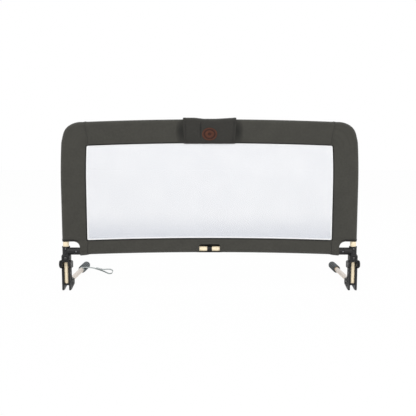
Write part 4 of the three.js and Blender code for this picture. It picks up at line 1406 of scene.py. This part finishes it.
# The hem round the foot of the side sleeve and the cut-out, one loop through front and back
hem_edge = []
hem_inward = []
for j in range(flat_steps, len(side_rows[0]) - flat_steps):
    hem_edge.append(puffed(side_rows[0][j]))
    hem_inward.append(side_rows[1][j] - side_rows[0][j])
for row in reversed(foot_rows[1:-1]):
    hem_edge.append(puffed(row[-1]))
    hem_inward.append(row[-2] - row[-1])
hem_rows = binding_rows(hem_edge, hem_inward)
hem = skin("binding_side_hem", hem_rows, ring=True)
side_hems = both_sides(hem, binding_dye_and_seam_shade, "grey_cloth", "guard", crease=60)
hem_line = [row[1] for row in hem_rows]

# Each side's cloth was cut from under the lower rail to over the top corner; a row of stitches
# runs along its hem
for band, hem_piece, (side, turned) in zip(side_bands, side_hems, sides):
    hem_threads = stitches(f"stitches_side_hem_{side}", [turned(point) for point in hem_line])

# Cover: top band
# The same oxford in one piece along the top rail, down to the window on both faces. Its ends lap
# over the side bands, and it is drawn in beside the flap.
lap = 2.3
band_columns = 200
top_steps = 16
lap_rise = 0.9
lap_rise_reach = 14
dent_x = 119
dent_z = 647
dent_depth = 5.2
ridge_x = 150
ridge_rise = 1.3


def band_column(i):
    """The place of a column of the band, and how far it stands out where it laps over the side."""
    x = -seam_x - lap + 2 * (seam_x + lap) * i / band_columns
    return x, lap_rise * max(0, 1 - (seam_x + lap - abs(x)) / lap_rise_reach) ** 0.5


top_shares = [i / top_steps for i in range(top_steps + 1)]
top_rows = []
for i in range(band_columns + 1):
    x, proud = band_column(i)
    row = []
    for a, b in tent(sleeve_radius + proud, layer_half + proud, top_reach, top_shares):
        z = top_rail(x) - a
        # Beside the flap the cloth is drawn in, with a slanting ridge outside the hollow
        down = z - dent_z
        dent = dent_depth * math.exp(-((abs(x) - dent_x) / 15) ** 2 - (down / 19) ** 2)
        ridge = ridge_rise * math.exp(-((abs(x) - ridge_x - 0.3 * down) / 9) ** 2 - (down / 16) ** 2)
        y = math.copysign(max(1.6, abs(b) - (dent - ridge) * min(1, abs(b) / 4)), b)
        row.append(puffed(Vector((x, y, z))))
    top_rows.append(row)
top_band = cloth(skin("oxford_top_band", top_rows))
finished(top_band, oxford, "grey_cloth", "guard", "cover_top_band", crease=50)
top_threads = stitches("stitches_top_seams", top_rows[1], top_rows[-2], width=seam_stitch)

# Cover: bottom band
# One piece of the oxford round the lower rail, up to the window on both faces, with a bound opening
# at the front where the rail's connector is reached.
opening_half = 43
opening_top = 21
opening_round = 9
opening_bound = 10
opening_foot = 9
opening_flat = 22
sill_width = 4
flat_rows = 9
curved_rows = 14
cutter_half = 6

# The band's front goes straight down to the sleeve and then round under it
bottom_angle = lean(lower_sleeve_radius, layer_half, lower_reach)
bottom_touch = (lower_sleeve_radius * math.cos(bottom_angle), lower_sleeve_radius * math.sin(bottom_angle))
bottom_flat = math.hypot(lower_reach - bottom_touch[0], bottom_touch[1] - layer_half)


def on_bottom_band(x, along, proud=0.0):
    """A point on the band's front, by the distance along it from the window edge."""
    flat_share = min(1, along / bottom_flat)
    a = lower_reach + (bottom_touch[0] - lower_reach) * flat_share
    b = layer_half + (bottom_touch[1] - layer_half) * flat_share + proud
    if along > bottom_flat:
        angle = bottom_angle + (along - bottom_flat) / lower_sleeve_radius
        a = (lower_sleeve_radius + proud) * math.cos(angle)
        b = (lower_sleeve_radius + proud) * math.sin(angle)
    return puffed(Vector((x, -b, lower_rail(x) + a)))


half_around = bottom_flat + lower_sleeve_radius * (math.pi - bottom_angle)
stops = [bottom_flat * s / flat_rows for s in range(flat_rows + 1)]
stops += [bottom_flat + (half_around - bottom_flat) * s / curved_rows for s in range(1, curved_rows + 1)]
bottom_rows = []
for i in range(band_columns + 1):
    x, proud = band_column(i)
    front = [on_bottom_band(x, along, proud) for along in stops]
    bottom_rows.append([*front, *on_back(reversed(front[:-1]))])
bottom_band = cloth(skin("oxford_bottom_band", bottom_rows))

# The opening has round upper corners and runs down to the tube's foot, where it is bound. Half its
# outline is given by place along the rail and distance along the band, and the rest is its mirror.
top_along = bottom_flat * (lower_reach - opening_top) / (lower_reach - bottom_touch[0])
low_along = half_around - opening_foot
round_along = top_along + opening_round
opening_line = [(-opening_half, low_along + (round_along - low_along) * i / 18) for i in range(18)]
opening_line += arc(opening_round, 180, 270, 8, (-opening_half + opening_round, round_along))
opening_line += [(x, top_along) for x in (-opening_flat, -opening_flat / 2, 0)]
opening_line += [(-x, along) for x, along in reversed(opening_line[:-1])]


def through_cloth(x, along, out):
    """A point off the band's front by a distance along its own slope."""
    here = on_bottom_band(x, along)
    step_x = on_bottom_band(x + 1, along) - here
    step_down = on_bottom_band(x, along + 1) - here
    return here + step_down.cross(step_x).normalized() * out


# The cutter's rows run across the opening, from its foot up to its upper edge
cutter_rows = []
for x, along in opening_line:
    if x > -opening_flat:
        break
    across = [x - 2 * x * i / 30 for i in range(31)]
    outside = [through_cloth(place, along, cutter_half) for place in across]
    inside = [through_cloth(place, along, -cutter_half) for place in reversed(across)]
    cutter_rows.append([*outside, *inside])
cutter = skin("opening", cutter_rows, ring=True, caps=True)
combine(bottom_band, "DIFFERENCE", [cutter])
plain(bottom_band)
drop([cutter])
finished(bottom_band, oxford, "grey_cloth", "guard", "cover_bottom_band", crease=50)

opening_edge = [on_bottom_band(x, along) for x, along in opening_line]
opening_inward = []
for i, (x, along) in enumerate(opening_line):
    before = Vector(opening_line[max(i - 1, 0)])
    following = Vector(opening_line[min(i + 1, len(opening_line) - 1)])
    way = (following - before).normalized()
    into = Vector((way.y, -way.x))
    opening_inward.append(on_bottom_band(x + into.x, along + into.y) - opening_edge[i])
opening_rows = binding_rows(opening_edge, opening_inward, opening_bound, closed=False)
opening_hem = skin("binding_opening", opening_rows, ring=True, caps=True)
finished(opening_hem, oxford, "grey_cloth", "guard", crease=60)
sill_spots = [(-opening_half + 2 * opening_half * i / 20, low_along) for i in range(21)]
sill_edge = [on_bottom_band(x, along) for x, along in sill_spots]
sill_inward = [on_bottom_band(x, along + 1) - on_bottom_band(x, along) for x, along in sill_spots]
sill_rows = binding_rows(sill_edge, sill_inward, sill_width, closed=False)
sill = skin("binding_opening_sill", sill_rows, ring=True, caps=True)
finished(sill, binding_dye_and_seam_shade, "grey_cloth", "guard", crease=60)
bottom_threads = stitches("stitches_bottom_seams", bottom_rows[1], bottom_rows[-2], width=seam_stitch)
opening_threads = stitches("stitches_opening", [row[1] for row in opening_rows], width=seam_stitch)

# Window edge
# A bound seam on the cloth round the window, drawn dark as painted shade of its valley, a white
# ribbed tape inside it that carries the mesh, and the warp-knitted white mesh itself, sewn taut.
seam_width = 5
edging_width = 5
window_round = 6
window_steps = 120
jamb_steps = 50
# The white tape's section, folded over the mesh's edge
edging_section = [
    (-edging_width, -0.9), (-edging_width + 0.6, -1.5), (-1, -1.9), (-0.1, -1.8),
    (-0.1, 1.8), (-1, 1.9), (-edging_width + 0.6, 1.5), (-edging_width, 0.9),
]

# The window's outline with its round corners, from the upper right one on, as (x, z) pairs
straight = seam_x - window_round
upper_edge = [
    (x, top_rail(x) - top_reach)
    for x in (straight - 2 * straight * i / window_steps for i in range(window_steps + 1))
]
lower_edge = [(-x, lower_rail(x) + lower_reach) for x, z in upper_edge]
jamb_top = top_rail(seam_x) - top_reach - window_round
jamb_foot = lower_rail(seam_x) + lower_reach + window_round
left_jamb = [(-seam_x, jamb_top + (jamb_foot - jamb_top) * i / jamb_steps) for i in range(1, jamb_steps)]
window_edge = [
    *arc(window_round, 0, 90, 8, (straight, jamb_top))[:-1],
    *upper_edge,
    *arc(window_round, 90, 180, 8, (-straight, jamb_top))[1:],
    *left_jamb,
    *arc(window_round, 180, 270, 8, (-straight, jamb_foot))[:-1],
    *lower_edge,
    *arc(window_round, 270, 360, 8, (straight, jamb_foot))[1:],
    *[(-x, z) for x, z in reversed(left_jamb)],
]


def window_tape(section_at):
    """Rows of a closed tape along the window's outline, from its section by place and way out."""
    rows = []
    for i, (x, z) in enumerate(window_edge):
        before = Vector(window_edge[i - 1])
        following = Vector(window_edge[(i + 1) % len(window_edge)])
        way = (following - before).normalized()
        out = Vector((way.y, -way.x))
        rows.append([Vector((x + out.x * a, b, z + out.y * a)) for a, b in section_at(x, z, out)])
    return [*rows, rows[0]]


def seam_section(x, z, out):
    """The seam tape's section, whose faces lie on the cloth's slope."""
    slope = 0.14 + 0.16 * max(0, -out.y) ** 2
    wave_out = 0.12 * noise.noise(Vector((x * 0.05, z * 0.05, 1)))
    outer = layer_half + 0.75 + wave_out + slope * seam_width
    inner = layer_half + 0.7
    return [
        (-0.5, -inner + 0.6), (0, -inner), (seam_width - 0.5, -outer), (seam_width, -outer + 0.5),
        (seam_width, outer - 0.5), (seam_width - 0.5, outer), (0, inner), (-0.5, inner - 0.6),
    ]


# The seam tape's dark is painted shade of the valley where the cloth is sewn down
seam_rows = window_tape(seam_section)
seam_shade_tape = skin("window_seam_painted_shade", seam_rows, ring=True)
finished(seam_shade_tape, binding_dye_and_seam_shade, "grey_cloth", "guard", crease=60)
seam_line = [row[2].lerp(row[1], 0.35) for row in seam_rows]
window_threads = stitches("stitches_window_seam", seam_line, on_back(seam_line), width=1.2)

white_tape, tree, shader = surface("ribbed_white_tape", "#f4f5f5", 0.75, sheen_weight=0.2)
spot = on_cloth(tree)
raised(tree, shader, wave(tree, spot, 1.0, "X"), 0.15)
tree.links.new(shade(tree, speckle(tree, spot, 6, 2), "#ececee", "#fafbfb"), shader.inputs["Base Color"])
edging_rows = window_tape(lambda *place: edging_section)
edging = skin("white_window_edging", edging_rows, ring=True)
finished(edging, white_tape, "white_edging", "guard", "window_edging", crease=60)

# Warp-knitted mesh: an open net of 1.8 mm cells whose holes are set by its Alpha. It is a little
# darker towards its foot, where it hangs in the band's shade.
net_pitch = 1.8
net_columns = 80
net_steps = 36
net_slack = 1.6
net_tuck = edging_width - 1
mesh_net, tree, shader = surface("warp_knitted_mesh", "#f3f4f8", 0.7, sheen_weight=0.2)
spot = on_cloth(tree)
parts = node(tree, "ShaderNodeSeparateXYZ", {0: spot})
turns = 2 * math.pi / net_pitch
along = reckon(tree, "MULTIPLY", parts.outputs[0], turns)
across = reckon(tree, "MULTIPLY", parts.outputs[1], turns / 0.8)
first = reckon(tree, "SINE", reckon(tree, "ADD", along, across))
second = reckon(tree, "SINE", reckon(tree, "SUBTRACT", along, across))
cell = reckon(tree, "ADD", first, second)
hole = reckon(tree, "GREATER_THAN", cell, 1.25)
tree.links.new(reckon(tree, "SUBTRACT", 1, hole), shader.inputs["Alpha"])
raised(tree, shader, reckon(tree, "MULTIPLY", cell, -0.5), 0.3)
height = node(tree, "ShaderNodeSeparateXYZ", {0: on_piece(tree)}).outputs[2]
climb = {0: height, 1: 200, 2: 330}
lit = node(tree, "ShaderNodeMapRange", climb, interpolation_type="SMOOTHSTEP").outputs[0]
lit_part = reckon(tree, "MULTIPLY", lit, 0.7)
mesh_tone = reckon(tree, "MULTIPLY_ADD", speckle(tree, spot, 120, 2), 0.3, lit_part)
tree.links.new(shade(tree, mesh_tone, "#d3d7e0", "#f6f7fa"), shader.inputs["Base Color"])

mesh_rows = []
for i in range(net_columns + 1):
    x_share = -1 + 2 * i / net_columns
    x = (seam_x - net_tuck) * x_share
    low = lower_rail(x) + lower_reach + net_tuck
    high = top_rail(x) - top_reach - net_tuck
    row = []
    for j in range(net_steps + 1):
        share = j / net_steps
        slack = math.sin(math.pi * share) * math.sin(math.pi * (x_share + 1) / 2)
        y = -net_slack * slack * (1 + noise.noise(Vector((x * 0.008, share * 3, 2))))
        row.append(Vector((x, y, low + (high - low) * share)))
    mesh_rows.append(row)
net = skin("warp_knitted_mesh", mesh_rows)
finished(net, mesh_net, "white_mesh", "guard", "mesh_panel")

# Flap
# A hemmed rectangle of the oxford that folds over the joint in the top rail: its front comes down to
# the window and its back stops short. Its side hems are stiff, so its top corners stand up.
flap_half = 106
flap_radius = 16.0
flap_layer = 3.9
flap_back = 34
flap_reach = top_reach + 2.5
flap_columns = 212
flap_steps = 24
hem_width = 9
hem_column = 8
hem_rise = 1.3
left_lift = 4.4
right_lift = 4.8
taper = 0.028
fold_height = 650
# The soft folds on the flap: where each lies and its width, and how far it stands out or sinks in
fold_plan = [(-31, 5, 2), (-38, 3.6, -3.6), (-52, 14, -1.4)]

# The flap's oxford is a darker copy of the cover's, drawn as painted shade, with more painted shade in the
# valley of its fold
flap_hollow = (-36, 5, 652, 38)
flap_oxford_painted_shade = oxford_cloth(
    "polyester_oxford_flap_painted_shade", "#262522", "#3b3a36", 0.75, flap_hollow, mirrored=False
)


def flap_lift(x):
    """How far the flap stands off the rail at its top, flat at the left and sloping at the right."""
    if x < 0:
        share = max(0, min(1, (-x - 16) / 50))
        return left_lift * share * share * (3 - 2 * share)
    return right_lift * max(0, (x - 22) / (flap_half - 22)) ** 1.1


def swell(place, middle, width):
    """One at a middle, falling softly to nothing on both sides of it."""
    return math.exp(-((place - middle) / width) ** 2)


flap_shares = [i / flap_steps for i in range(flap_steps + 1)]
flap_rows = []
for i in range(flap_columns + 1):
    x = -flap_half + 2 * flap_half * i / flap_columns
    in_hem = max(0, min(1, (abs(x) - flap_half + hem_width) / 1.5))
    row = []
    for a, b in tent(flap_radius, flap_layer, flap_reach, flap_shares):
        if b > 0 and a > flap_back:
            continue
        z = top_rail(0) - a
        raise_z = flap_lift(x) * max(0, min(1, (20 - a) / 20)) ** 1.2
        # Beside the patch a fold comes off the sleeve as a soft ridge with a sharp valley, and there
        # is a shallow dent on the other side
        out = hem_rise * in_hem
        for middle, width, rise in fold_plan:
            out += rise * swell(x, middle, width) * swell(z, fold_height, 30)
        out -= 1.2 * swell(x, 62, 12) * swell(z, 630, 14)
        out += 1.4 * noise.noise(Vector((x * 0.02, z * 0.018, 23)))
        out *= min(1, abs(b) / 8)
        low_ridge = 0.9 * max(0, min(1, (a - flap_reach + 6) / 1.2))
        y = b + math.copysign(out + low_ridge, b)
        tapered = x * (1 - taper * max(0, a) / top_reach)
        row.append(Vector((tapered, y, z + raise_z)))
    flap_rows.append(row)
flap = cloth(skin("oxford_flap", flap_rows))
finished(flap, flap_oxford_painted_shade, "grey_cloth", "guard", "rail_joint_flap", crease=50)


def flap_thread(row):
    """The front of a row of the flap, a little proud of the cloth, above its lower hem."""
    return [point + Vector((0, -0.7, 0)) for point in row[2:40]]


low_line = [row[2] + Vector((0, -0.4, 0)) for row in flap_rows[hem_column:-hem_column]]
flap_threads = stitches(
    "stitches_flap",
    flap_thread(flap_rows[hem_column]),
    flap_thread(flap_rows[-1 - hem_column]),
    low_line,
    width=seam_stitch,
)

# Leather patch
# An oval of embossed brown leather sewn to the flap, with a plain ring and a plain oval pressed in.
patch_half_width = 30.5
patch_half_height = 25
patch_drop = 45
patch_height = top_rail(0) - patch_drop
patch_steps = 96
# The patch from its back round its rim to its middle: each row's share of the oval, and its lift
patch_section = [
    (1, -0.6), (1, 1.4), (0.985, 1.9), (0.95, 2), (0.81, 2), (0.78, 1.5), (0.6, 1.5), (0.57, 2),
    (0.27, 2.05), (0.24, 1.5), (0.08, 1.5),
]
seam_row = 4

# Embossed leather: pores of 1.4 mm in a stained brown, darker where it is pressed in
leather, tree, shader = surface("embossed_leather", "#4f2a1c", 0.7)
shader.inputs["Specular IOR Level"].default_value = 0.25
spot = on_piece(tree)
pores = node(tree, "ShaderNodeTexVoronoi", {"Vector": spot, "Scale": 1 / 1.4}).outputs["Distance"]
stain = speckle(tree, spot, 12, 3)
dye = shade(tree, stain, "#42251b", "#5c3526")
place = node(tree, "ShaderNodeSeparateXYZ", {0: spot}).outputs
aside = reckon(tree, "DIVIDE", place[0], patch_half_width)
lifted = reckon(tree, "DIVIDE", reckon(tree, "SUBTRACT", place[2], patch_height), patch_half_height)
lifted_square = reckon(tree, "MULTIPLY", lifted, lifted)
out_share = reckon(tree, "SQRT", reckon(tree, "MULTIPLY_ADD", aside, aside, lifted_square))
pressed_ring = reckon(tree, "COMPARE", out_share, 0.69, 0.1)
pressed_middle = reckon(tree, "LESS_THAN", out_share, 0.24)
pressed = reckon(tree, "MULTIPLY", reckon(tree, "ADD", pressed_ring, pressed_middle), 0.75)
stamped = node(tree, "ShaderNodeMix", {0: pressed, 6: dye, 7: linear("#2a1712")}, data_type="RGBA")
tree.links.new(stamped.outputs[2], shader.inputs["Base Color"])
raised(tree, shader, reckon(tree, "ADD", pores, speckle(tree, spot, 0.5)), 0.12)

# It lies on the slope of the flap's front
flap_lean = lean(flap_radius, flap_layer, top_reach)
flap_touch = (flap_radius * math.cos(flap_lean), flap_radius * math.sin(flap_lean))
patch_slope = (flap_touch[1] - flap_layer) / (top_reach - flap_touch[0])
patch_rows = []
for share, lift in patch_section:
    row = []
    for i in range(patch_steps):
        angle = 2 * math.pi * i / patch_steps
        x = patch_half_width * share * math.cos(angle)
        drop = patch_drop + patch_half_height * share * math.sin(angle)
        y = -(flap_layer + patch_slope * (top_reach - drop)) - lift - 0.6
        row.append(Vector((x, y, top_rail(0) - drop)))
    patch_rows.append(row)
patch = skin("embossed_patch", patch_rows, ring=True, caps=True)
finished(patch, leather, "brown_leather", "guard", "leather_patch", crease=60)
seam = [point.lerp(Vector((0, point.y, patch_height)), 0.03) for point in patch_rows[seam_row]]
patch_threads = stitches(
    "stitches_patch", [*seam, seam[0]], width=1.1, pitch=3.4, slot_name="brown_leather"
)

# Strap stitches
# A box of pale polyester thread sews the end of the pull loop down on the tail. Its two long sides
# follow the webbing's last stretch, and lie on it where it is tipped.
box_half = webbing_width / 2 - 2
near_lift = 0.5
far_lift = 3.2

pale_thread = twisted_thread("pale_thread", "#8d9694")
sewn = strap_points[-36:-6]
near_side = [point + Vector((0, -box_half, near_lift)) for point in sewn]
far_side = [point + Vector((0, box_half, far_lift)) for point in reversed(sewn)]
stitches(
    "stitches_strap",
    [*near_side, *far_side, near_side[0]],
    width=0.9,
    pitch=3,
    material=pale_thread,
    slot_name="pale_webbing",
    body="leg_left",
)
